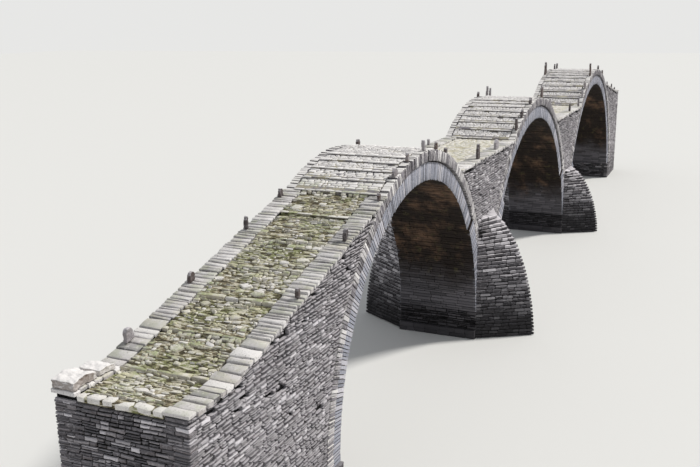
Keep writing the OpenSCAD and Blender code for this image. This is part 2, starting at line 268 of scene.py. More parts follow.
class Stones:
    """Closed stones with worn edges, gathered one by one and made into one mesh."""

    # How far a face is drawn in and its shoulder sunk, as shares of the wear, and the most that either takes
    # of the way to the stone's middle and of its depth
    face_inset, face_inset_most, face_inset_range = 1.5, 0.35, (0.6, 1.5)
    shoulder_range, shoulder_most = (0.7, 1.5), 0.4
    # How far the back of a stone is drawn in, and the most that this takes of the way to its middle
    back_inset, back_inset_most = 0.004, 0.2

    def __init__(self, seed):
        self.chance = np.random.default_rng(seed)
        self.outlines = {}

    def lay(self, outline, inward, tone=None, wear=None, dome=0.002, rough=0.0015):
        """outline: corners of the shown face; inward: vector from that face to the back of the stone."""
        tone = self.chance.random() if tone is None else tone
        wear = sizes().wear if wear is None else wear
        self.outlines.setdefault(len(outline), []).append((outline, inward, (tone, wear, dome, rough)))

    def blocks(self):
        """Vertices, tones and faces of all stones."""
        verts, tones, faces, base = [], [], [], 0
        for corners, stones in sorted(self.outlines.items()):
            outline, inward, looks = (np.array(part, float) for part in zip(*stones))
            tone = looks[:, 0]
            wear, dome, rough = (looks[:, k, None, None] for k in (1, 2, 3))
            each = (len(stones), corners, 1)
            depth = np.linalg.norm(inward, axis=1)[:, None]
            normal = -inward / depth
            facing = np.cross(outline, np.roll(outline, -1, axis=1)).sum(1)
            flip = (facing * normal).sum(1) < 0
            outline[flip] = outline[flip][:, ::-1]
            to_centre = outline.mean(1, keepdims=True) - outline
            reach = np.linalg.norm(to_centre, axis=2, keepdims=True)
            inset = np.minimum(wear * self.face_inset, reach * self.face_inset_most)
            inset = inset * self.chance.uniform(*self.face_inset_range, each)
            across = normal[:, None, :]
            front = outline + to_centre / reach * inset
            front = front + across * (self.chance.normal(0, 1, each) * rough)
            sink = wear * self.chance.uniform(*self.shoulder_range, each)
            shoulder = outline - across * np.minimum(sink, depth[:, None] * self.shoulder_most)
            drawn_in = np.minimum(self.back_inset, reach * self.back_inset_most)
            back = outline + to_centre / reach * drawn_in + inward[:, None, :]
            middle = front.mean(1, keepdims=True) + across * dome
            verts.append(np.concatenate([front, shoulder, back, middle], axis=1).reshape(-1, 3))
            size = 3 * corners + 1
            tones.append(np.repeat(tone, size))
            start = base + np.arange(len(stones))[:, None, None] * size
            k = np.arange(corners)
            n = (k + 1) % corners
            fan = np.stack([k, n, np.full(corners, 3 * corners)], axis=1)
            edge = np.stack([corners + k, corners + n, n, k], axis=1)
            rear = 2 * corners + k[::-1][None]
            for part in (fan, edge, edge + corners, rear):
                faces.append((part[None] + start).reshape(-1, part.shape[1]))
            base += len(stones) * size
        return np.concatenate(verts), np.concatenate(tones), faces


def placed(name, data):
    """A new object in the scene."""
    made = bpy.data.objects.new(name, data)
    bpy.context.scene.collection.objects.link(made)
    return made


def give_tones(mesh, tones):
    """Keeps a tone for each vertex, which the finishes read."""
    mesh.attributes.new("tone", "FLOAT", "POINT").data.foreach_set("value", tones.astype(np.float32))


def stand_for(made, node):
    """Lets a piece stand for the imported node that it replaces."""
    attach(made, "root")
    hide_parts(node)


def dress(node, stones, behind, shown, filler="mortar", core_tone=0.5, sharp=math.radians(52)):
    """Makes one mesh of a node's stones and of what lies behind them, which has one tone. shown and filler
    are their finishes, and edges are sharp from an angle on."""
    co, tones, faces = stones.blocks()
    low, high = (np.array(corner) for corner in cad_box)
    co = np.clip(co, low + BOX_INSET, high - BOX_INSET)
    core_co, core_tri = behind
    faces.append(core_tri + len(co))
    co = np.concatenate([co, core_co])
    corner_counts = np.concatenate([np.full(len(f), f.shape[1]) for f in faces])
    corners = np.concatenate([f.ravel() for f in faces])
    which_finish = np.zeros(len(corner_counts), np.int32)
    which_finish[-len(core_tri):] = 1
    mesh = bpy.data.meshes.new(f"{node}_stones")
    mesh.vertices.add(len(co))
    mesh.vertices.foreach_set("co", co.astype(np.float32).ravel())
    mesh.loops.add(len(corners))
    mesh.loops.foreach_set("vertex_index", corners.astype(np.int32))
    mesh.polygons.add(len(corner_counts))
    mesh.polygons.foreach_set("loop_start", (np.cumsum(corner_counts) - corner_counts).astype(np.int32))
    mesh.polygons.foreach_set("material_index", which_finish)
    mesh.polygons.foreach_set("use_smooth", np.ones(len(corner_counts), bool))
    for name in (shown, filler):
        mesh.materials.append(finish(name))
    mesh.update(calc_edges=True)
    mesh.set_sharp_from_angle(angle=sharp)
    give_tones(mesh, np.concatenate([tones, np.full(len(core_co), core_tone)]))
    stand_for(placed(f"{node}_stones", mesh), node)


def cuts(chance, start, end, short, long):
    """Places of the joints from start to end, at random lengths that leave no scrap."""
    places = [start]
    while end - places[-1] > long:
        places.append(places[-1] + chance.uniform(short, long) * chance.uniform(0.75, 1.0))
    if end - places[-1] > max(1.3 * short, 0.8 * long):
        places.append((places[-1] + end) / 2)
    if len(places) > 1 and end - places[-1] < 0.6 * short:
        places.pop()
    return [*places, end]


def pairs(row):
    """Each item of a row with the one after it."""
    return list(zip(row[:-1], row[1:]))


# Waves that lift the courses a little: their height, and their turns along and up in radians for each metre
WAVES = ((0.007, 2.1, 3.1), (0.004, 5.7, -8.3), (0.002, 17, 29))
# Courses keep level this near to the foot and the top of a face
LEVEL_MARGIN = 0.02
# How far the joints in a course lean at most, and how far stones stand back from the face at most
LEAN, STAND_BACK = 0.005, 0.006
# Joints in the courses, as shares of the usual ones
HEAD_SHARES, BED_SHARES = (0.4, 1.8), (0.5, 1.3)
# Share of the tall stones that are two thin ones, and where these are parted
SPLIT_SHARE, SPLIT_AT = 0.45, (0.38, 0.62)
# A shorter row is left out, and so is a stone that is shorter than both at its top and its foot
SHORTEST_ROW, SHORTEST_TOP, SHORTEST_FOOT = 0.03, 0.012, 0.02
# Least length of a pointed stone's top, and the length from which stones have a bent foot and top
POINT, BENT_FROM = 0.006, 0.05


def wave(u, v):
    """Small lift of a course, the same on both sides of a joint."""
    return sum(lift * math.sin(along * u + up * v) for lift, along, up in WAVES)


def lay_courses(stones, place, span, levels, heights, lengths, into, missing=None, free_ends=(False, False),
                end_depth=1.0):
    """Rows of stones on one face, the last of which takes up what is left. place(u, v) is a point of the
    face, span(v) its two ends at one height, and into the vector to the back of a stone. missing(u, v) is the
    chance that a stone has dropped out. A free end has no joint, and the stones at the ends reach in by
    end_depth times as much."""
    chance = stones.chance
    bed, head = sizes().bed_joint / 2, sizes().head_joint / 2
    into = np.array(into, float)
    outward = -into / np.linalg.norm(into)
    low, high = heights
    level, end = levels
    while level < end - 0.3 * low:
        top = level + chance.uniform(low, high)
        top = end if end - top < 0.7 * low else top
        below, above = span(level + bed), span(top - bed)
        if below is None or above is None or above[1] - above[0] < SHORTEST_ROW:
            level = top
            continue
        joints = cuts(chance, *below, *lengths)
        leans = chance.uniform(-LEAN, LEAN, len(joints) - 2)
        tops = [above[0], *(u + lean for u, lean in zip(joints[1:-1], leans)), above[1]]
        for k, ((a0, b0), (a1, b1)) in enumerate(zip(pairs(joints), pairs(tops))):
            first, last = k == 0, k == len(joints) - 2
            a1, b1 = max(a1, above[0]), min(b1, above[1])
            if b1 - a1 < SHORTEST_TOP and b0 - a0 < SHORTEST_FOOT:
                continue
            if b1 - a1 < POINT:
                a1, b1 = (a1 + b1) / 2 - POINT / 2, (a1 + b1) / 2 + POINT / 2
            if missing and chance.random() < missing((a0 + b0) / 2, top):
                continue
            shares = [(0.0, 1.0)]
            if top - level > 0.8 * high and chance.random() < SPLIT_SHARE:
                split = chance.uniform(*SPLIT_AT)
                shares = [(0.0, split), (split, 1.0)]
            for share in shares:
                gaps = [0.0 if free else head * chance.uniform(*HEAD_SHARES)
                        for free in (first and free_ends[0], last and free_ends[1])]
                lay_course_stone(stones, place, (a0, b0, a1, b1), (level, top), share, gaps,
                                 bed * chance.uniform(*BED_SHARES), levels,
                                 outward * chance.uniform(-STAND_BACK, 0.4 * STAND_BACK),
                                 into * (end_depth if first or last else 1.0))
        level = top


def lay_course_stone(stones, place, ends, course, share, gaps, bed, levels, shift, into):
    """One stone of a course, or one of two thin ones that share its height. ends are its two ends at the foot
    of the course and at its top, and gaps and bed are the halves of the joints around it."""
    chance = stones.chance
    a0, b0, a1, b1 = ends
    level, top = course

    def corner(u_foot, u_top, m, gap, up):
        u, v = u_foot + (u_top - u_foot) * m, level + (top - level) * m
        lift = wave(u, v) if levels[0] + LEVEL_MARGIN < v < levels[1] - LEVEL_MARGIN else 0
        return u + gap, v + lift + up

    row = [corner(a0, a1, share[0], gaps[0], bed), corner(b0, b1, share[0], -gaps[1], bed),
           corner(b0, b1, share[1], -gaps[1], -bed), corner(a0, a1, share[1], gaps[0], -bed)]
    if row[1][0] - row[0][0] > BENT_FROM and row[2][0] - row[3][0] > BENT_FROM:
        m = chance.uniform(0.35, 0.65)
        bend = lambda p, q, *lift: (p[0] * (1 - m) + q[0] * m, (p[1] + q[1]) / 2 + chance.uniform(*lift))
        foot, crown = bend(row[0], row[1], -0.001, 0.004), bend(row[3], row[2], -0.005, 0.001)
        row = [row[0], foot, row[1], row[2], crown, row[3]]
    stones.lay([tuple(np.array(place(u, v)) + shift) for u, v in row], tuple(into), wear=1.3 * sizes().wear)


# Finishes

class Finish:
    """Builds the nodes of one stone finish."""

    def __init__(self, name, roughness=0.9):
        self.material = bpy.data.materials.new(name)
        self.material.use_nodes = True
        self.tree = self.material.node_tree
        self.shader = self.tree.nodes["Principled BSDF"]
        self.shader.inputs["Roughness"].default_value = roughness
        self.shader.inputs["Specular IOR Level"].default_value = 0.25
        self.where = self.node("TexCoord").outputs["Object"]
        facing = self.node("SeparateXYZ", Vector=self.node("NewGeometry").outputs["Normal"])
        _, self.across, self.up = facing.outputs
        self.x, self.y, self.height = self.node("SeparateXYZ", Vector=self.where).outputs
        tone = self.node("Attribute")
        tone.attribute_name = "tone"
        self.tone = tone.outputs["Fac"]

    def node(self, kind, **inputs):
        """A new node, with links or plain values at its named sockets."""
        made = self.tree.nodes.new(f"ShaderNode{kind}")
        for name, value in inputs.items():
            self.feed(made.inputs[name.replace("_", " ")], value)
        return made

    def feed(self, socket, value):
        """Links a socket to another one, or gives it a number, or a colour for three numbers."""
        if hasattr(value, "is_linked"):
            self.tree.links.new(value, socket)
        elif socket.type != "RGBA":
            socket.default_value = value
        elif hasattr(value, "__len__"):
            socket.default_value = (*value[:3], 1)
        else:
            socket.default_value = (value, value, value, 1)

    def noise(self, scale, detail=4.0, rough=0.6, distortion=0.0, where=None):
        """Cloudy noise from 0 to 1."""
        return self.node("TexNoise", Scale=scale, Detail=detail, Roughness=rough, Distortion=distortion,
                         Vector=where or self.where).outputs["Fac"]

    def stretched(self, *scale):
        """The place on the object, scaled differently along its three axes."""
        return self.node("Mapping", Scale=scale, Vector=self.where).outputs["Vector"]

    def ramp(self, source, *stops):
        """Colours or greys at places from 0 to 1."""
        made = self.node("ValToRGB", Fac=source)
        bar = made.color_ramp
        while len(bar.elements) < len(stops):
            bar.elements.new(0.5)
        for element, (place, value) in zip(bar.elements, stops):
            element.position = place
            element.color = (*value, 1) if hasattr(value, "__len__") else (value, value, value, 1)
        return made.outputs["Color"]

    def math(self, what, *values):
        """What a Math node makes of numbers or sockets."""
        made = self.node("Math")
        made.operation = what
        for socket, value in zip(made.inputs, values):
            self.feed(socket, value)
        return made.outputs[0]

    def times(self, a, b):
        """One share of another."""
        return self.math("MULTIPLY", a, b)

    def rest(self, share):
        """What a share leaves of 1."""
        return self.math("SUBTRACT", 1.0, share)

    def between(self, source, low, high):
        """0 below low, 1 above high, and smooth between them."""
        made = self.node("MapRange", Value=source, From_Min=low, From_Max=high)
        made.interpolation_type = "SMOOTHSTEP"
        return made.outputs["Result"]

    def patches(self, low, high, *texture):
        """Soft patches of noise, whose texture is given as scale, detail, roughness and distortion."""
        return self.between(self.noise(*texture), low, high)

    def mix(self, share, a, b, blend="MIX"):
        """A share of colour b in colour a."""
        made = self.node("Mix")
        made.data_type = "RGBA"
        made.blend_type = blend
        sockets = {socket.identifier: socket for socket in made.inputs}
        for key, value in (("Factor_Float", share), ("A_Color", a), ("B_Color", b)):
            self.feed(sockets[key], value)
        return next(socket for socket in made.outputs if socket.identifier == "Result_Color")

    def over(self, shade, layer, mask, share):
        """Lays a colour over a shade where a mask shows it, by a share at most."""
        return self.mix(self.times(mask, share), shade, layer)

    def speckled(self, shade, share, scale, detail, darkest, clear_from):
        """Darkens a shade in fine grains, by noise whose low places are the darkest."""
        grains = self.ramp(self.noise(scale, detail, 0.8), (0.3, darkest), (clear_from, 1.0))
        return self.mix(share, shade, grains, "MULTIPLY")

    def finish(self, shade, grain, grain_scale, pits=0.0):
        """Links the colour and a bump of the given depth in metres."""
        relief = self.noise(grain_scale, 6.0, 0.68)
        if pits:
            cells = self.node("TexVoronoi", Scale=grain_scale * 0.6, Vector=self.where).outputs["Distance"]
            relief = self.math("ADD", relief, self.times(self.between(cells, 0.0, 0.35), pits))
        bump = self.node("Bump", Strength=0.9, Distance=grain, Height=relief)
        self.feed(self.shader.inputs["Base Color"], shade)
        self.feed(self.shader.inputs["Normal"], bump.outputs["Normal"])
        return self.material


def scaled(value, share):
    """A darker or lighter colour."""
    return tuple(min(1.0, v * share) for v in value)


def blended(a, b, share):
    """A colour between two."""
    return tuple(x * (1 - share) + y * share for x, y in zip(a, b))


def rust_and_shade_under_arches(f, shade, half):
    """Painted shade, nearly black with rusty and damp patches low down and dark grey higher up, on what doesn't
    face out to a side, and on all that is less than half from the middle of the bridge."""
    c = colours()
    inward = f.between(f.rest(f.math("ABSOLUTE", f.across)), 0.35, 0.75)
    under = f.math("MAXIMUM", inward, f.math("LESS_THAN", f.math("ABSOLUTE", f.y), half))
    # Nearly black painted shade, with patches of rust.
    rust_and_deep_shade = f.mix(f.patches(0.48, 0.72, 1.3, 9.0, 0.72), scaled(c.soffit, 0.09), c.soffit)
    # Dark slime, partly painted shade.
    slime_and_shade = blended(scaled(c.soffit, 0.3), c.moss, 0.10)
    wet_rust_and_shade = f.mix(f.patches(0.54, 0.74, 7.0, 6.0, 0.7), rust_and_deep_shade, slime_and_shade)
    # Higher up, dark greys of painted shade instead.
    above = f.between(f.math("ADD", f.height, f.times(f.noise(2.0), 0.8)), 1.1, 1.9)
    wet_rust_and_shade = f.mix(above, f.mix(f.tone, scaled(c.wall_grey, 0.22), scaled(c.wall_grey, 0.48)), wet_rust_and_shade)
    return f.over(shade, wet_rust_and_shade, under, 0.98)


def overgrown(f, shade, moss, fades):
    """Tufts of moss on what lies level, and dry mottling, but little of both on the palest stones."""
    c = colours()
    bare = f.rest(f.times(f.between(f.tone, 0.72, 0.86), 0.8))
    tufts = f.times(f.patches(0.40, 0.60, 4.3, 7.0, 0.72), bare)
    if fades:
        tufts = f.times(tufts, f.between(f.x, *fades))
    green = f.mix(f.patches(0.40, 0.62, 1.9, 5.0, 0.65), c.moss, blended(c.moss, c.straw, 0.8))
    green = f.speckled(green, 0.75, 70.0, 4.0, 0.65, 0.6)
    shade = f.over(shade, green, f.times(f.between(f.up, 0.2, 0.75), tufts), moss)
    dry = f.times(f.patches(0.54, 0.64, 17.0, 6.0, 0.75), bare)
    return f.over(shade, blended(c.slab_brown, c.moss, 0.35), dry, 0.42 * moss)


def masonry(name, dark, usual, pale, warm=0.25, spread=1.0, lichen=0.4, specks=0.6, bleach_and_painted_highlight=0.35, grime_and_painted_shade=0.5,
            moss=0.0, moss_fades=None, soffit=None, damp_and_painted_shade=0.0, grain=0.004):
    """Weathered limestone: tones that differ from stone to stone, stains, speckle, lichen and moss.
    The bleaching share whitens what faces up: bleached tops and a painted highlight. The grime share darkens
    what faces down: grime and painted shade under each stone. The damp share darkens the foot: damp and painted
    shade. soffit is how far from the middle of the bridge everything gets painted shade and rust. Moss fades
    out from one X to another."""
    f = Finish(name)
    brown = blended(usual, colours().slab_brown, 0.7)
    shade = f.ramp(
        # The darkest stop, at tone 0 alone, is painted shade for the set-back lower course of the risers.
        f.tone, (0.0, scaled(dark, 0.5)), (0.004, blended(usual, dark, 0.85 * spread)),
        (0.14, blended(usual, dark, 0.35 * spread)), (0.45, usual), (0.62, blended(usual, brown, warm)),
        (0.84, blended(usual, pale, 0.45 * spread)), (1.0, blended(usual, pale, spread)),
    )
    shade = f.over(shade, blended(usual, dark, 0.6), f.patches(0.45, 0.72, 1.4, 3.0, 0.55), 0.25 * spread)
    shade = f.over(shade, brown, f.patches(0.50, 0.72, 6.0, 5.0, 0.65, 0.4), warm)
    shade = f.over(shade, pale, f.patches(0.52, 0.66, 26.0, 5.0, 0.7), lichen)
    shade = f.over(shade, scaled(dark, 0.35), f.patches(0.56, 0.68, 44.0, 4.0, 0.75), specks)
    shade = f.speckled(shade, 0.7, 150.0, 3.0, 0.76, 0.6)
    # Painted highlight: what faces up is paler, as if lit from above, along with bleached tops.
    shade = f.over(shade, pale, f.between(f.up, 0.2, 0.65), bleach_and_painted_highlight)
    # Painted shade: what faces down is darker, as under each stone, along with grime.
    shade = f.over(shade, scaled(dark, 0.4), f.between(f.times(f.up, -1.0), 0.15, 0.6), grime_and_painted_shade)
    # Painted shade, with rust, under the arches.
    if soffit:
        shade = rust_and_shade_under_arches(f, shade, soffit)
    if moss:
        shade = overgrown(f, shade, moss, moss_fades)
    # Painted shade and damp: darker towards the foot.
    if damp_and_painted_shade:
        low = f.rest(f.between(f.math("ADD", f.height, f.times(f.noise(3.0), 0.5)), 0.35, 1.7))
        shade = f.over(shade, scaled(dark, 0.42), low, damp_and_painted_shade)
    return f.finish(shade, grain, 55.0, 0.25)


def earth(name, base, other, share=0.5, patch=5.0, streaks=None, relief=0.006):
    """Mortar, grit, moss and earth in the joints, in patches of two colours. streaks is a third colour that
    lies in short dashes across the way, and where it is given, dark dashes of painted shadow lie among them, as
    under the near edges of stones."""
    f = Finish(name, 0.97)
    shade = f.mix(f.patches(0.42, 0.62, patch, 6.0, 0.72), base, blended(base, other, share))
    shade = f.speckled(shade, 0.8, 110.0, 3.0, 0.5, 0.7)
    if streaks:
        streaks_and_shadow_dashes = f.noise(24.0, 4.0, 0.7, 0.3, f.stretched(1.0, 0.3, 1.0))
        shade = f.over(shade, streaks, f.between(streaks_and_shadow_dashes, 0.52, 0.60), 0.8)
        # Painted shadow: dark dashes across the way, as under the near edges of stones.
        shade = f.mix(f.between(f.rest(streaks_and_shadow_dashes), 0.48, 0.55), shade, scaled(base, 0.2))
    return f.finish(shade, relief, 70.0)


def recipes():
    """Maker and values of each finish of the bridge."""
    c = colours()
    base = dict(dark=scaled(c.wall_dark, 0.5), usual=scaled(c.wall_grey, 0.6), pale=c.wall_pale, lichen=0.25,
                damp_and_painted_shade=0.5)
    return {
        "wall_masonry": (masonry, dict(
            dark=scaled(c.wall_dark, 0.35), usual=scaled(c.wall_grey, 0.56), pale=c.wall_pale, warm=0.15,
            lichen=0.25, specks=0.95, bleach_and_painted_highlight=0.5, grime_and_painted_shade=0.95, damp_and_painted_shade=0.45)),
        "base_masonry": (masonry, base),
        "pier_masonry": (masonry, dict(base, soffit=0.70)),
        "cutwater_masonry": (masonry, dict(
            dark=scaled(c.wall_dark, 0.5), usual=scaled(c.wall_grey, 0.52), pale=c.wall_pale, warm=0.1,
            specks=0.8, bleach_and_painted_highlight=0.85, grime_and_painted_shade=0.9, damp_and_painted_shade=0.9)),
        "inner_ring": (masonry, dict(
            dark=blended(c.wall_dark, c.ring_blue, 0.4), usual=c.ring_blue, pale=c.wall_pale, warm=0.1,
            spread=0.7, soffit=0.668)),
        "outer_ring": (masonry, dict(
            dark=scaled(c.wall_dark, 0.7), usual=c.wall_grey, pale=c.cap_pale, warm=0.12, lichen=0.55,
            specks=0.9, bleach_and_painted_highlight=0.95, grime_and_painted_shade=0.6, moss=0.1)),
        "coping": (masonry, dict(
            dark=scaled(c.wall_dark, 0.8), usual=blended(c.wall_grey, c.cap_pale, 0.65), pale=c.cap_pale,
            warm=0.35, lichen=0.6, specks=0.9, grime_and_painted_shade=0.9, moss=0.3)),
        "worn_paving": (masonry, dict(
            dark=c.wall_dark, usual=scaled(c.cap_pale, 1.08), pale=scaled(c.cap_pale, 1.08), warm=0.04,
            spread=0.3, lichen=0.6, specks=0.1, bleach_and_painted_highlight=0.5, grime_and_painted_shade=0.9, moss=0.7, moss_fades=(-8.9, -9.7),
            grain=0.006)),
        "mossy_paving": (masonry, dict(
            dark=c.wall_dark, usual=blended(c.straw, c.cap_pale, 0.45), pale=c.cap_pale, warm=0.35,
            lichen=0.45, specks=0.5, bleach_and_painted_highlight=0.4, grime_and_painted_shade=0.9, moss=0.75, grain=0.009)),
        "sandy_paving": (masonry, dict(
            dark=c.wall_grey, usual=blended(c.cap_pale, c.straw, 0.4), pale=c.cap_pale, warm=0.2, spread=0.6,
            lichen=0.5, specks=0.3, moss=0.25)),
        "edge_stones": (masonry, dict(
            dark=scaled(c.wall_dark, 0.7), usual=scaled(blended(c.wall_grey, c.slab_brown, 0.45), 0.5),
            pale=c.wall_pale, warm=0.7, spread=0.45, lichen=0.25, bleach_and_painted_highlight=0.5)),
        "end_blocks": (masonry, dict(
            dark=scaled(c.slab_brown, 0.5), usual=blended(c.wall_grey, c.slab_brown, 0.85), pale=c.cap_pale,
            warm=0.8, lichen=0.2, specks=0.7, bleach_and_painted_highlight=0.95)),
        "mortar": (earth, dict(base=scaled(c.mortar, 0.6), other=c.wall_dark, share=0.15)),
        "worn_earth": (earth, dict(base=c.wall_grey, other=blended(c.wall_grey, c.straw, 0.6), share=0.9)),
        "mossy_earth": (earth, dict(
            base=blended(c.slab_brown, c.straw, 0.45), other=blended(c.moss, c.straw, 0.2), share=0.9,
            patch=2.5, streaks=blended(c.straw, c.cap_pale, 0.5), relief=0.02)),
        "sandy_earth": (earth, dict(
            base=blended(c.wall_grey, c.straw, 0.7), other=blended(c.cap_pale, c.straw, 0.5), share=0.95)),
        "rubble_fill": (earth, dict(base=scaled(c.wall_dark, 0.8), other=c.straw, share=0.35)),
    }


MADE_FINISHES = {}


def finish(name):
    """A finish of the bridge, made when it is first asked for."""
    if name not in MADE_FINISHES:
        make, values = recipes()[name]
        MADE_FINISHES[name] = make(name, **values)
    return MADE_FINISHES[name]


# Side walls

# Shares of the stones that are missing: less than this far under the coping, for each bay, and elsewhere
UNDER_COPING = 0.06
MISSING_UNDER_COPING, MISSING = (0.15, 0.3, 0.3, 0.15), 0.02
# What comes this near to the end of the bridge belongs to the end, where the stones stop at a margin
NEAR_END, END_MARGIN = 0.01, 0.008
WALL_STONE_DEPTH = 0.12
# How far behind the face the top of a wall is measured, and at which steps
PROFILE_Y, PROFILE_STEP = 0.05, 0.004


def wall_courses():
    """Heights of the courses in the walls, and lengths of their stones."""
    s = sizes()
    return (s.course_low, s.course_high), (s.wall_stone_short, s.wall_stone_long)


def lay_side_wall(bay, side):
    """Thin courses between the backs of the rings and the coping."""
    name = f"{WALLS[bay]}_wall_{side}"
    sign = SIDES[side]
    low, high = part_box(name)
    xs, tops = top_profile(name, sign * (FACE_Y - PROFILE_Y), low.x + CLEAR, high.x - CLEAR, PROFILE_STEP)
    tops = np.where(np.isnan(tops), SPRING_Z, tops)
    bottoms = np.maximum.reduce([arch.back(xs) for arch in ARCHES])

    def span(z):
        held = np.flatnonzero((bottoms <= z) & (tops >= z))
        if not len(held):
            return None
        left, right = xs[held[0]], xs[held[-1]]
        left = END_MARGIN - END_X if left < -END_X + NEAR_END else left
        right = END_X - END_MARGIN if right > END_X - NEAR_END else right
        return left, right

    def missing(x, z):
        return MISSING_UNDER_COPING[bay] if np.interp(x, xs, tops) - z < UNDER_COPING else MISSING

    stones = Stones(100 + 10 * bay + sign)
    ends = (bay == 0, bay == len(WALLS) - 1)
    lay_courses(stones, lambda x, z: (x, sign * FACE_Y, z), span, (SPRING_Z, high.z), *wall_courses(),
                (0, -sign * WALL_STONE_DEPTH, 0), missing, ends, end_depth=2.0 if any(ends) else 1.0)
    dress(name, stones, core(name, CORE_DEPTHS["wall"]), "wall_masonry")


# Rings

# Angles of two open slots in the near arch's right outer ring
SLOTS = {(1, "right"): (1.742, 1.521)}
# Ring stones differ in thickness by these shares of the usual
RING_STONE_SHARES = (0.72, 1.28)
# Back of the outer ring: how much its stones fall short at most, the share that are sunk, and how far
RAGGED, SUNK_SHARE, SUNK = 0.016, 0.14, 0.013
# How far down its crest the outer ring's width is measured, and how far down its stones are no deeper
CREST_BAND, HUMP_HEIGHT = 0.03, 1.3
# Joint between the rings up to an angle, and beyond it
RING_JOINT_ANGLE, RING_JOINTS = 1.95, (0.016, 0.005)
# Lengths of the inner ring's stones through the bridge
BARREL_STONES = (0.2, 0.42)


def ring_angles(arch, radius_in, radius_out, pitch, chance):
    """Joints of a ring from one springing to the other, as angles."""
    start = arch.springing_angle((radius_in + radius_out) / 2)
    end = math.pi - start
    count = int(round((end - start) * (radius_in + radius_out) / 2 / pitch))
    steps = chance.uniform(*RING_STONE_SHARES, count)
    return start + (end - start) * np.concatenate([[0], np.cumsum(steps) / steps.sum()])


def ring_corners(arch, y, *turns):
    """Corners of a ring stone's face at angles and radii, none of them below the springing."""
    corners = [arch.at(angle, radius, y) for angle, radius in turns]
    return [(x, y, max(z, SPRING_Z + CLEAR / 2)) for x, y, z in corners]


def lay_outer_ring(arch, side):
    """Thin upright stones with a ragged back."""
    name = f"arch_{arch.index}_outer_ring_{side}"
    sign = SIDES[side]
    stones = Stones(200 + 10 * arch.index + sign)
    chance = stones.chance
    s = sizes()
    high_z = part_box(name)[1].z
    co = points(name)
    crest_width = FACE_Y - np.abs(co[co[:, 2] > high_z - CREST_BAND, 1]).min()
    slots = SLOTS.get((arch.index, side), ())
    for a, b in pairs(ring_angles(arch, arch.middle, arch.outer, s.ring_stone, chance)):
        middle = (a + b) / 2
        if any(abs(middle - slot) < (b - a) / 2 for slot in slots):
            continue
        gap = s.joint * chance.uniform(0.5, 1.5)
        y = sign * (FACE_Y + chance.uniform(-0.009, 0.002))
        top = arch.outer - RAGGED * chance.random() ** 2 + 0.003
        top -= SUNK if chance.random() < SUNK_SHARE else 0
        tops = top + chance.uniform(-0.006, 0.002, 2)
        foot = arch.middle + CLEAR
        inner_gap, outer_gap = gap / arch.middle, gap / arch.outer
        corners = ring_corners(arch, y, (a + inner_gap, foot), (a + outer_gap, tops[0]),
                               (b - outer_gap, tops[1]), (b - inner_gap, foot))
        on_hump = arch.outer * math.sin(middle) + arch.z > high_z - HUMP_HEIGHT
        depth = FACE_Y - WALL_INNER_Y - 0.01
        if on_hump:
            depth = crest_width - CLEAR + chance.uniform(-0.02, 0.004)
        stones.lay(corners, (0, -sign * (abs(y) - FACE_Y + depth), 0), rough=0.002)
    dress(name, stones, core(name, CORE_DEPTHS["outer_ring"]), "outer_ring")


def lay_barrel(arch):
    """Rows of long stones through the bridge, which reach out further beside the cutwaters."""
    name = f"arch_{arch.index}_barrel"
    stones = Stones(300 + arch.index)
    chance = stones.chance
    s = sizes()
    gap = 0.75 * s.joint
    inner_gap, outer_gap = gap / arch.inner, gap / arch.middle
    for a, b in pairs(ring_angles(arch, arch.inner, arch.middle, s.ring_stone, chance)):
        middle = (a + b) / 2
        x, _, z = arch.at(middle, (arch.inner + arch.middle) / 2, 0)
        pier = arch.index if x > arch.x else arch.index - 1
        beside_cutwater = pier in (1, 2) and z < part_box(f"pier_{pier}_cutwater_right")[1].z
        half = arch.full_half if beside_cutwater else arch.recessed_half
        places = cuts(chance, -half, half, *BARREL_STONES)
        lift = chance.uniform(-0.004, 0.006)
        for i, (y0, y1) in enumerate(pairs(places)):
            y0 += gap if i else chance.uniform(0, 0.004)
            y1 -= gap if i < len(places) - 2 else chance.uniform(0, 0.004)
            r_in = arch.inner + lift + chance.uniform(-0.003, 0.003)
            r_out = arch.middle - RING_JOINTS[0 if middle < RING_JOINT_ANGLE else 1]
            seen, hidden = (y0, y1) if i < len(places) / 2 else (y1, y0)
            corners = ring_corners(arch, seen, (a + inner_gap, r_in), (a + outer_gap, r_out),
                                   (b - outer_gap, r_out), (b - inner_gap, r_in))
            stones.lay(corners, (0, hidden - seen, 0), rough=0.001)
    dress(name, stones, core(name, CORE_DEPTHS["barrel"]), "inner_ring")


# Piers, cutwaters and abutments

BASE_COURSES, BASE_STONES = (0.034, 0.06), (0.08, 0.26)
FOOTING_STONES = (0.18, 0.36)
PIER_STONE_DEPTH = 0.1
# Lengths of the cutwaters' stones: the shortest, the longest, and the longest at the top and in few courses
CUTWATER_STONE_SHORT, CUTWATER_STONE_LONG, CUTWATER_STONE_LONGEST = 0.11, 0.24, 0.32
# The least that a course of a cutwater reaches in, and how far it goes under the next one
LEAST_BAND, UNDER_NEXT = 0.10, 0.05
# How much the stones of a cutwater fall short of their course's foot
BED_SHORT = 0.015


def lay_cutwater(pier, side):
    """Stepped courses on the two flanks of a pointed cutwater."""
    name = f"pier_{pier}_cutwater_{side}"
    co = points(name)
    sign = SIDES[side]
    levels = np.unique(np.round(co[:, 2], 4))
    noses = [np.abs(co[np.abs(co[:, 2] - z) < SAME_PLACE, 1]).max() - FACE_Y for z in levels[1:]]
    stones = Stones(400 + 10 * pier + sign)
    low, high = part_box(name)
    for course, nose, following in zip(pairs(levels), noses, [*noses[1:], 0.0]):
        band = max(LEAST_BAND, nose - following + UNDER_NEXT)
        for flank in (-1, 1):
            foot = np.array([(low.x + high.x) / 2 + flank * (high.x - low.x) / 2, sign * FACE_Y])
            tip = np.array([(low.x + high.x) / 2, sign * (FACE_Y + nose)])
            lay_flank(stones, flank, sign, foot, tip, course, band, course[1] == levels[-1])
    dress(name, stones, core(name, CORE_DEPTHS["cutwater"]), "cutwater_masonry")


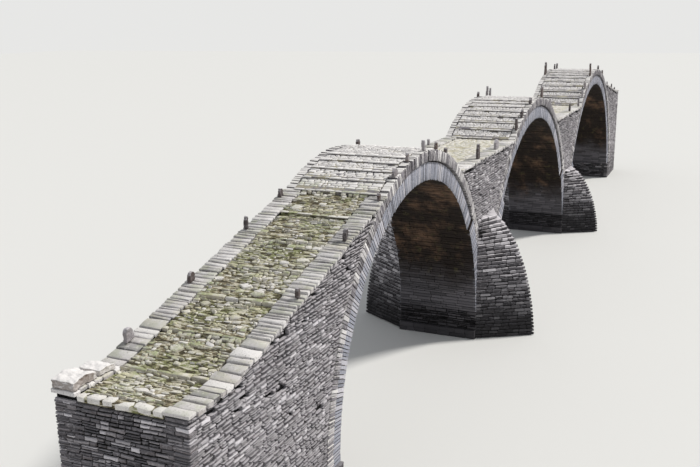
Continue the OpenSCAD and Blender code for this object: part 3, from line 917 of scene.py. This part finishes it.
def lay_flank(stones, flank, sign, foot, tip, course, band, last):
    """One course of a flank, from its foot at the pier to the tip of the nose. band is how deep it is, and
    last is true for the topmost course."""
    chance = stones.chance
    gap = sizes().joint / 2
    middle = tip[0]
    along = tip - foot
    reach = np.linalg.norm(along)
    along = along / reach
    inward = np.array([-flank, 0.0]) - along * (np.array([-flank, 0.0]) @ along)
    inward = inward / np.linalg.norm(inward)
    longest = CUTWATER_STONE_LONGEST if last or chance.random() < 0.2 else CUTWATER_STONE_LONG
    places = cuts(chance, 0.0, reach, CUTWATER_STONE_SHORT, longest)
    for i, (a, b) in enumerate(pairs(places)):
        at_nose = i == len(places) - 2
        out = chance.uniform(-0.002, 0.016)
        p = foot + along * (a + gap) + inward * out
        q = foot + along * (b - (0.0 if at_nose else gap)) + inward * out
        deep = band * chance.uniform(0.85, 1.25)
        r, t = q + inward * deep, p + inward * deep
        if at_nose:
            q = np.array([middle + flank * gap, q[1]]) if flank * (q[0] - middle) < gap else q
            r = np.array([middle + flank * gap, tip[1] - sign * (deep * 1.4)])
        for corner in (r, t):
            corner[1] = sign * max(FACE_Y - 0.02, sign * corner[1])
            corner[0] = middle + flank * max(gap, flank * (corner[0] - middle))
        lift = chance.uniform(-0.005, 0.0)
        height = course[1] - course[0] - BED_SHORT + lift
        stones.lay([(*v, course[1] + lift) for v in (p, q, r, t)], (0, 0, -height), wear=0.010, rough=0.0025)


def lay_flat_face(stones, start, along, width, levels, into, heights=BASE_COURSES, lengths=BASE_STONES):
    """Courses on an upright rectangular face that starts at a corner and runs along a level direction."""
    start, along = np.array(start, float), np.array(along, float)
    place = lambda u, v: (*(start + along * u), v)
    lay_courses(stones, place, lambda v: (0.0, width), levels, heights, lengths, into, free_ends=(True, True))


def lay_pier(index):
    """Courses on the two faces of a pier that look into the arches, over two courses of its footing."""
    name = f"pier_{index}"
    low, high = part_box(name)
    footing = np.unique(np.round(points(name)[:, 2], 4))[1]
    stones = Stones(500 + index)
    chance = stones.chance
    near_face, far_face = ARCHES[index - 1].mouth()[1], ARCHES[index].mouth()[0]
    for x, inward, edge in ((near_face, 1, low.x), (far_face, -1, high.x)):
        lay_flat_face(stones, (x, low.y), (0, 1), high.y - low.y, (footing, high.z),
                      (inward * PIER_STONE_DEPTH, 0, 0))
        for z in (0.0, footing / 2):
            places = cuts(chance, low.y, high.y, *FOOTING_STONES)
            for i, (y0, y1) in enumerate(pairs(places)):
                y0 += CLEAR if i else 0
                y1 -= CLEAR if i < len(places) - 2 else 0
                out = edge + inward * chance.uniform(0.0, 0.008)
                back = x + inward * 0.05
                plan = ((out, y0), (out, y1), (back, y1), (back, y0))
                stones.lay([(*v, z + footing / 2 - CLEAR) for v in plan], (0, 0, -footing / 2 + 0.003))
    dress(name, stones, core(name, CORE_DEPTHS["pier"]), "pier_masonry")


def lay_abutment(which):
    """Courses on the block under a ramp, and on the end of the bridge above it."""
    name = f"{which}_abutment"
    low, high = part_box(name)
    stones = Stones(600 + len(which))
    base, deep, wide = (low.z, SPRING_Z), WALL_STONE_DEPTH, high.y - low.y
    end, mouth, sign = (low.x, high.x, 1) if which == "near" else (high.x, low.x, -1)
    for side in (-1, 1):
        lay_flat_face(stones, (low.x, side * FACE_Y), (1, 0), high.x - low.x, base, (0, -side * deep, 0))
    lay_flat_face(stones, (mouth, low.y), (0, 1), wide, base, (-sign * deep, 0, 0))
    lay_flat_face(stones, (end, low.y), (0, 1), wide, base, (sign * deep, 0, 0))
    above = (SPRING_Z, high.z - CLEAR)
    lay_flat_face(stones, (end, low.y), (0, 1), wide, above, (sign * deep, 0, 0), *wall_courses())
    dress(name, stones, core(name, CORE_DEPTHS["abutment"]), "base_masonry")


# Roadway

# How the cobbles of each kind of paving lie
# rows, lengths: widths of the rows across the way, and lengths of the stones in a row
# depth: how far down the joints are open
# heave: how far near edges stand higher than far ones, at most
# gone, patchy: share of the stones that are gone, and how much that differs by place
# wander: how far the joints between rows wander
# ramp: how much of a riser is buried where the way steps up
# wear: how far edges are worn
# turn: how far stones are turned, as a slope
# sink: how far stones are sunk at most, as a share of the depth
LIES = {
    "mossy": dict(rows=(0.024, 0.056), lengths=(0.032, 0.14), depth=0.014, heave=0.028, gone=0.26, patchy=3.0,
                  wander=0.040, ramp=0.75, wear=0.004, turn=0.25, sink=1.2),
    "worn": dict(rows=(0.029, 0.062), lengths=(0.045, 0.20), depth=0.008, heave=0.011, gone=0.02, patchy=2.0,
                 wander=0.020, ramp=0.3, wear=0.003, turn=0.09, sink=0.4),
    "sandy": dict(rows=(0.06, 0.12), lengths=(0.09, 0.24), depth=0.006, heave=0.005, gone=0.10, patchy=2.0,
                  wander=0.014, ramp=0.0, wear=0.006, turn=0.05, sink=0.6),
}
# Least height of a step that has a riser, and how far its stones reach in
LEAST_RISER, RISER_WIDTHS = 0.02, (0.055, 0.08)
# How far what is heaped before a riser reaches, and how far from the hump's foot the way is bare instead
HEAP_REACH, BARE_STRETCH = 0.13, (0.1, 0.7)
# The threshold at the near end: its width, its tone and how its stones lie
THRESHOLD, THRESHOLD_TONE, THRESHOLD_LIE = 0.11, 0.95, dict(lengths=(0.12, 0.26), heave=0.004, gone=0)
# How far the joints wander that meet a riser or the threshold
HELD = 0.002
# Flags: how many for each metre, their least width and what may come to it, how far they stand proud, and
# the bareness up to which they lie
FLAGS_EACH_METRE, FLAG_LEAST, FLAG_MORE, FLAG_PROUD, FLAG_BARENESS = 20, 0.022, 0.085, 0.004, 0.12
# Courses of each kind of riser: how thick, how far down, how far out, and the tones of the stones. A lower
# course of tone 0 takes the darkest stop of its finish: painted shade in the recess under the upper course.
RISERS = {
    "worn": (dict(thick=0.017, down=0.0, out=0.008, tones=(0.7, 1.0)),
             dict(thick=0.05, down=0.026, out=-0.026, tones=(0.0, 0.0))),
    "bare": (dict(thick=0.012, down=0.0, out=0.012, tones=(0.6, 1.0)),
             dict(thick=0.05, down=0.013, out=-0.024, tones=(0.0, 0.0))),
    "mossy": (dict(thick=0.05, down=0.0, out=0.0, tones=(0.0, 1.0)),),
}
RISER_STONES = (0.08, 0.26)


def slabs_of(name):
    """Slabs of a paving node as near X, far X, and the heights of the tread at both."""
    co = points(name)
    top = lambda x: co[np.abs(co[:, 0] - x) < SAME_PLACE, 2].max()
    xs = np.unique(np.round(co[:, 0], 4))
    return [(a, b, top(a), top(b)) for a, b in zip(xs[0::2], xs[1::2])]


def lay_paving(name, kind, every_slab):
    """Cobbles, risers and flags of one stretch of the roadway."""
    stones = Stones(700 + list(PAVING).index(name))
    chance = stones.chance
    lie = LIES[kind]
    low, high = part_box(name)
    edge = high.y
    hump_foot = min(low.x, high.x, key=abs)
    bare = lambda x: BARE_STRETCH[0] < abs(x - hump_foot) < BARE_STRETCH[1]
    riser_kind = lambda x: "bare" if kind == "mossy" and bare(x) else kind
    heap = lambda far, x: 0.0 if bare(x) else max(0.0, 1.0 - far / HEAP_REACH) ** 1.5 * lie["ramp"]
    for slab in slabs_of(name):
        a, b, za, zb = slab
        k = every_slab.index(slab)
        step_near = every_slab[k - 1][3] - za if k else 0.0
        step_far = every_slab[k + 1][2] - zb if k < len(every_slab) - 1 else 0.0
        start, end, fixed = a, b, []
        if step_near < -LEAST_RISER:
            start = a + chance.uniform(*RISER_WIDTHS)
            fixed.append(start)
            lay_riser(stones, edge, a, start, za, riser_kind(a))
        if step_far < -LEAST_RISER:
            end = b - chance.uniform(*RISER_WIDTHS)
            fixed.append(end)
            lay_riser(stones, edge, b, end, zb, riser_kind(b))
        if k == 0:
            start = a + THRESHOLD
            fixed.append(start)
            lay_row(stones, edge, (a, start), (0.0, 0.006), lambda x: za, lie | THRESHOLD_LIE, THRESHOLD_TONE)
        tread = lambda x: (za + (x - a) / (b - a) * (zb - za) + max(0.0, step_near) * heap(x - a, a)
                           + max(0.0, step_far) * heap(b - x, b))
        for row in pairs(cuts(chance, start, end, *lie["rows"])):
            sway = [HELD if joint in fixed else lie["wander"] for joint in row]
            lay_row(stones, edge, row, sway, tread, lie)
        if kind == "mossy":
            lay_flags(stones, edge, start, end, tread)
    under = bedding(name, lie["depth"], 0.0, edge - 0.004) if kind == "sandy" else core(name, lie["depth"])
    dress(name, stones, under, f"{kind}_paving", f"{kind}_earth")


def bareness(x, y):
    """How bare the ramps and dips are at one place: 0 on average, and at most 1."""
    return noise.noise(Vector((x * 1.7, y * 2.6, 7.0)))


def lay_row(stones, edge, row, sway, tread, lie, tone=None):
    """One row of cobbles across the way, between two joints that sway. tread(x) is the height of the way."""
    chance = stones.chance
    half = sizes().joint / 2
    wander = lambda k, y: row[k] + sway[k] * noise.noise(Vector((y * 3.1, row[k] * 11.0, 0.0)))
    wide, x_mid = row[1] - row[0], (row[0] + row[1]) / 2
    for y0, y1 in pairs(cuts(chance, -edge, edge, *lie["lengths"])):
        if chance.random() < lie["gone"] * (1 + lie["patchy"] * bareness(row[0], y0)):
            continue
        y0, y1 = y0 + half * chance.uniform(0.6, 2.0), y1 - half * chance.uniform(0.6, 2.0)
        gap = half * chance.uniform(0.5, 2.2)
        nib = min(0.3 * (y1 - y0), 0.4 * wide) * chance.uniform(0.3, 1.0)
        middle = (y0 + y1) / 2
        near = lambda y: wander(0, y) + gap
        far = lambda y: wander(1, y) - gap
        waist = lambda y: near(y) + (far(y) - near(y)) * chance.uniform(0.35, 0.65)
        first, last = y0 + nib, y1 - nib
        ring = [(near(first), first), (near(middle), middle), (near(last), last), (waist(y1), y1),
                (far(last), last), (far(middle), middle), (far(first), first), (waist(y0), y0)]
        heave = lie["heave"] * chance.random() ** 1.5
        sink = chance.uniform(0.0, lie["sink"]) * lie["depth"]
        turn = chance.uniform(-lie["turn"], lie["turn"])
        tilt = chance.uniform(-0.04, 0.04)
        ring = [(x + turn * (y - middle), y) for x, y in ring]
        height = lambda x, y: tread(x) - sink + (x_mid - x) / wide * heave + tilt * (y - middle)
        outline = [(x, y, height(x, y)) for x, y in ring]
        stones.lay(outline, (0, 0, -0.05), tone, wear=lie["wear"], dome=0.0015)


def lay_flags(stones, edge, start, end, tread):
    """Broad pale stones that lie proud among the cobbles of a ramp."""
    chance = stones.chance
    for _ in range(int((end - start) * FLAGS_EACH_METRE)):
        wide = FLAG_LEAST + FLAG_MORE * chance.random() ** 1.6
        deep = wide * chance.uniform(0.35, 0.75)
        x = chance.uniform(start + deep, end - deep)
        y = chance.uniform(-edge + wide, edge - wide)
        if bareness(x, y) > FLAG_BARENESS:
            continue
        corners = int(chance.integers(5, 8))
        turns = (np.arange(corners) + chance.uniform(-0.4, 0.4, corners)) * math.tau / corners
        reach = chance.uniform(0.75, 1.15, corners)
        tilt = chance.uniform(-0.05, 0.05, 2)
        plan = [(deep * far * math.sin(turn), wide * far * math.cos(turn)) for turn, far in zip(turns, reach)]
        height = lambda dx, dy: tread(x + dx) + FLAG_PROUD + tilt[0] * dx + tilt[1] * dy
        outline = [(x + dx, y + dy, height(dx, dy)) for dx, dy in plan]
        stones.lay(outline, (0, 0, -0.04), chance.uniform(0.55, 1.0), wear=0.004, dome=0.001, rough=0.003)


def lay_riser(stones, edge, outer, inner, z, kind):
    """Long stones along a riser, whose upper course leans out over a lower one that is set back."""
    chance = stones.chance
    half = sizes().joint / 2
    way = 1 if outer > inner else -1
    for course in RISERS[kind]:
        for y0, y1 in pairs(cuts(chance, -edge, edge, *RISER_STONES)):
            y0, y1 = y0 + half, y1 - half
            sway = 0.028 * noise.noise(Vector((y0 * 2.3, outer * 5.1, 0.0)))
            lip = outer + way * (course["out"] + sway + chance.uniform(-0.012, 0.007))
            back = inner + way * CLEAR
            top = z - course["down"] - chance.uniform(0.0, 0.010 if kind == "mossy" else 0.006)
            bow = way * chance.uniform(-0.004, 0.004)
            plan = ((lip, y0), (lip + bow, (y0 + y1) / 2), (lip, y1), (back, y1), (back, y0))
            stones.lay([(*v, top) for v in plan], (0, 0, -course["thick"]), chance.uniform(*course["tones"]),
                       wear=0.005)


# Coping, upright stones and end blocks

# Coping is laid in narrow stones where it climbs more than this over this way, but not this near the ends
SLOPE_RISE, SLOPE_RUN, LEVEL_ENDS = 0.004, 0.05, 1.3
# The noise that roughens the upright stones: how much it pushes in and out, and its turns for each metre
ROUGH = ((0.010, (9.0, 9.0, 9.0)), (0.006, (22, 22, 40)), (0.0025, (75.0, 75.0, 75.0)))


def lay_coping(side):
    """Coping stones along one edge of the bridge, in a run between each two rings."""
    name = f"{side}_coping"
    low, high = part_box(name)
    sign = SIDES[side]
    stones = Stones(800 + sign)
    chance = stones.chance
    s = sizes()
    inner, outer = WALL_INNER_Y, max(abs(low.y), abs(high.y))
    reach = END_X - CLEAR / 2
    xs, tops = top_profile(name, sign * (inner + outer) / 2, -reach, reach, 0.006)
    changes = np.diff(np.concatenate([[False], ~np.isnan(tops), [False]]).astype(int))
    for i, j in zip(np.flatnonzero(changes > 0), np.flatnonzero(changes < 0) - 1):
        top = lambda x: float(np.interp(x, xs[i:j + 1], tops[i:j + 1]))
        first = -END_X if xs[i] < -END_X + NEAR_END else xs[i]
        last = END_X if xs[j] > END_X - NEAR_END else xs[j]
        a = first
        while a < last:
            climbs = abs(top(min(a + SLOPE_RUN, last)) - top(a)) > SLOPE_RISE
            usual = s.coping_stone if climbs and abs(a) < END_X - LEVEL_ENDS else s.coping_slab
            b = a + usual * chance.uniform(0.65, 1.45)
            b = last if last - b < 0.6 * usual else b
            gap = s.joint * chance.uniform(0.7, 2.2)
            ends = a + (gap if a > first else 0), b - (gap if b < last else 0)
            lay_coping_stone(stones, sign, ends, (inner, outer), top)
            a = b
    under = bedding(name, CORE_DEPTHS["coping"], inner + 0.004, FACE_Y - 0.012)
    dress(name, stones, under, "coping")


def lay_coping_stone(stones, sign, along, across, top):
    """One coping stone, laid nearer to level than the slope that carries it, with ragged ends."""
    chance = stones.chance
    (a, b), (inner, outer) = along, across
    reach = outer - 0.018 * chance.random() ** 1.5
    back = inner + chance.uniform(-0.018, 0.016)
    skew = np.abs(chance.uniform(-0.006, 0.006, 4))
    foot, share = min(top(a), top(b)), chance.uniform(0.6, 0.95)
    drop = 0.008 * chance.random() ** 2
    tilt = chance.uniform(-0.03, 0.03)
    x_mid, y_mid = (a + b) / 2, (back + reach) / 2
    ring = [(a, back + skew[0]), (x_mid, back), (b, back + skew[1]), (b, y_mid),
            (b - skew[2], reach - skew[1]), (x_mid, reach), (a + skew[3], reach - skew[0]), (a, y_mid)]
    height = lambda x, y: foot + share * (top(x) - foot) - drop - abs(tilt) * 0.14 + tilt * (y - y_mid)
    thick = 0.05 + chance.uniform(-0.014, 0.004)
    stones.lay([(x, sign * y, height(x, y)) for x, y in ring], (0, 0, -thick), wear=0.007, rough=0.0025)


def weather(node, finish_name, swell=1.0, skin=0.0085):
    """Makes the plain blocks of a node rough: an even skin of small faces, pushed in and out by noise."""
    co, tri = welded(node)
    plain = bpy.data.meshes.new(f"{node}_plain")
    plain.from_pydata(co.tolist(), [], tri.tolist())
    made = placed(f"{node}_rough", plain)
    remesh = made.modifiers.new("even_skin", "REMESH")
    remesh.mode = "VOXEL"
    remesh.voxel_size = skin
    graph = bpy.context.evaluated_depsgraph_get()
    graph.update()
    mesh = bpy.data.meshes.new_from_object(made.evaluated_get(graph))
    made.modifiers.clear()
    made.data = mesh
    bpy.data.meshes.remove(plain)
    moved = np.empty((len(mesh.vertices), 3), np.float32)
    for k, vertex in enumerate(mesh.vertices):
        push = sum(share * noise.noise(vertex.co * Vector(scale)) for share, scale in ROUGH)
        moved[k] = vertex.co + vertex.normal * (push - 0.003) * swell
    moved = np.clip(moved, *(np.array(corner) for corner in cad_box))
    mesh.vertices.foreach_set("co", moved.astype(np.float32).ravel())
    mesh.polygons.foreach_set("use_smooth", np.ones(len(mesh.polygons), bool))
    give_tones(mesh, 0.5 + 0.5 * np.sin(np.round(moved[:, 0] * 3.1) * 12.9898))
    mesh.materials.clear()
    mesh.materials.append(finish(finish_name))
    mesh.update()
    stand_for(made, node)


# Stage

FLOOR_REACH, FLOOR_Z = 120.0, -0.002
SKY_LIGHT, SKY_STRENGTH = (0.93, 0.96, 1.0), 0.41
BACKDROP, BACKDROP_STRENGTH = (0.80, 0.80, 0.79), 1.0
LAMP_POWER, LAMP_WIDTH, LAMP_LIGHT = 2.8, math.radians(9), (1.0, 0.97, 0.92)
LAMP_FROM = (0.42, -0.52, 0.75)
# Place, axes and lens of the camera that took the photo
EYE = (-19.425, -4.643, 5.699)
EYE_RIGHT, EYE_UP, EYE_BACK = (0.4045, -0.9145, -0.0121), (0.2280, 0.0879, 0.9701), (-0.8861, -0.3949, 0.2441)
LENS, SENSOR = 44.08, 36


def lay_floor():
    """A pale floor just under the bridge."""
    corners = [(x * FLOOR_REACH, y * FLOOR_REACH, FLOOR_Z) for x, y in ((-1, -1), (1, -1), (1, 1), (-1, 1))]
    mesh = bpy.data.meshes.new("floor")
    mesh.from_pydata(corners, [], [(0, 1, 2, 3)])
    material = bpy.data.materials.new("pale_floor")
    material.use_nodes = True
    shader = material.node_tree.nodes["Principled BSDF"]
    shader.inputs["Base Color"].default_value = (*colours().floor, 1)
    shader.inputs["Roughness"].default_value = 0.9
    mesh.materials.append(material)
    placed("floor", mesh)


def light_sky():
    """Soft light from all around, and a pale backdrop that only the camera sees."""
    world = bpy.data.worlds.new("studio")
    bpy.context.scene.world = world
    world.use_nodes = True
    tree = world.node_tree
    shown = tree.nodes.new("ShaderNodeMixShader")
    seen = tree.nodes.new("ShaderNodeLightPath")
    tree.links.new(seen.outputs["Is Camera Ray"], shown.inputs["Fac"])
    lights = ((tree.nodes["Background"], SKY_LIGHT, SKY_STRENGTH),
              (tree.nodes.new("ShaderNodeBackground"), BACKDROP, BACKDROP_STRENGTH))
    for place, (light, tint, strength) in enumerate(lights, 1):
        light.inputs["Color"].default_value = (*tint, 1)
        light.inputs["Strength"].default_value = strength
        tree.links.new(light.outputs[0], shown.inputs[place])
    tree.links.new(shown.outputs[0], tree.nodes["World Output"].inputs["Surface"])


def hang_lamp():
    """One high lamp that casts soft shadows."""
    sun = bpy.data.lights.new("high_lamp", "SUN")
    sun.energy = LAMP_POWER
    sun.angle = LAMP_WIDTH
    sun.color = LAMP_LIGHT
    placed("high_lamp", sun).rotation_euler = Vector(LAMP_FROM).to_track_quat("Z", "Y").to_euler()


def set_camera():
    """The photo's own camera."""
    camera = bpy.data.cameras.new("camera")
    camera.sensor_width = SENSOR
    camera.lens = LENS
    camera.clip_end = 300
    eye = placed("camera", camera)
    turn = Matrix((EYE_RIGHT, EYE_UP, EYE_BACK)).transposed()
    eye.matrix_world = Matrix.Translation(EYE) @ turn.to_4x4()
    bpy.context.scene.camera = eye


# Operators

class FOOTBRIDGE_OT_walls(bpy.types.Operator):
    """Lays the thin courses of the side walls"""
    bl_idname = "footbridge.walls"
    bl_label = "Side walls"

    def execute(self, context):
        for side in SIDES:
            for bay in range(len(WALLS)):
                lay_side_wall(bay, side)
        return {"FINISHED"}


class FOOTBRIDGE_OT_rings(bpy.types.Operator):
    """Lays the stones of the inner and outer rings"""
    bl_idname = "footbridge.rings"
    bl_label = "Arch rings"

    def execute(self, context):
        for arch in ARCHES:
            lay_barrel(arch)
            for side in SIDES:
                lay_outer_ring(arch, side)
        return {"FINISHED"}


class FOOTBRIDGE_OT_piers(bpy.types.Operator):
    """Lays the piers, the cutwaters and the blocks under the ramps"""
    bl_idname = "footbridge.piers"
    bl_label = "Piers and cutwaters"

    def execute(self, context):
        for pier in (1, 2):
            lay_pier(pier)
            for side in SIDES:
                lay_cutwater(pier, side)
        for which in ("near", "far"):
            lay_abutment(which)
        return {"FINISHED"}


class FOOTBRIDGE_OT_roadway(bpy.types.Operator):
    """Lays the cobbles and the risers of the roadway"""
    bl_idname = "footbridge.roadway"
    bl_label = "Roadway"

    def execute(self, context):
        every_slab = sorted(slab for name in PAVING for slab in slabs_of(name))
        for name, kind in PAVING.items():
            lay_paving(name, kind, every_slab)
        return {"FINISHED"}


class FOOTBRIDGE_OT_edges(bpy.types.Operator):
    """Lays the coping stones and weathers the upright stones"""
    bl_idname = "footbridge.edges"
    bl_label = "Coping and uprights"

    def execute(self, context):
        for side in SIDES:
            lay_coping(side)
            weather(f"{side}_edge_stones", "edge_stones")
        weather("end_blocks", "end_blocks", 1.6)
        return {"FINISHED"}


class FOOTBRIDGE_OT_fill(bpy.types.Operator):
    """Gives the rubble fill its finish"""
    bl_idname = "footbridge.fill"
    bl_label = "Rubble fill"

    def execute(self, context):
        for bay in WALLS:
            solid = nodes[f"{bay}_fill"]
            solid.data.materials.clear()
            solid.data.materials.append(finish("rubble_fill"))
        return {"FINISHED"}


class FOOTBRIDGE_OT_stage(bpy.types.Operator):
    """Sets the pale floor, the soft light and the camera"""
    bl_idname = "footbridge.stage"
    bl_label = "Stage"

    def execute(self, context):
        context.scene.view_settings.view_transform = "Standard"
        lay_floor()
        light_sky()
        hang_lamp()
        set_camera()
        return {"FINISHED"}


class FOOTBRIDGE_PT_panel(bpy.types.Panel):
    """Lists the operators of the bridge"""
    bl_idname = "FOOTBRIDGE_PT_panel"
    bl_label = "Stone footbridge"
    bl_space_type = "VIEW_3D"
    bl_region_type = "UI"
    bl_category = "Footbridge"

    def draw(self, context):
        for operator in OPERATORS:
            self.layout.operator(operator.bl_idname)
        for group in (context.scene.footbridge_sizes, context.scene.footbridge_colours):
            for name in group.bl_rna.properties.keys():
                if name not in ("rna_type", "name"):
                    self.layout.prop(group, name)


OPERATORS = (
    FOOTBRIDGE_OT_walls, FOOTBRIDGE_OT_rings, FOOTBRIDGE_OT_piers, FOOTBRIDGE_OT_roadway,
    FOOTBRIDGE_OT_edges, FOOTBRIDGE_OT_fill, FOOTBRIDGE_OT_stage,
)
CLASSES = (FootbridgeStoneSizes, FootbridgeColours, *OPERATORS, FOOTBRIDGE_PT_panel)


def register():
    """Adds the classes, and their settings to each scene."""
    for each in CLASSES:
        bpy.utils.register_class(each)
    bpy.types.Scene.footbridge_sizes = PointerProperty(type=FootbridgeStoneSizes)
    bpy.types.Scene.footbridge_colours = PointerProperty(type=FootbridgeColours)


def unregister():
    """Takes all of it away again."""
    del bpy.types.Scene.footbridge_colours
    del bpy.types.Scene.footbridge_sizes
    for each in reversed(CLASSES):
        bpy.utils.unregister_class(each)


def main():
    """Builds the bridge and its stage."""
    register()
    bpy.ops.footbridge.walls()
    bpy.ops.footbridge.rings()
    bpy.ops.footbridge.piers()
    bpy.ops.footbridge.roadway()
    bpy.ops.footbridge.edges()
    bpy.ops.footbridge.fill()
    bpy.ops.footbridge.stage()


if __name__ == "__main__":
    main()
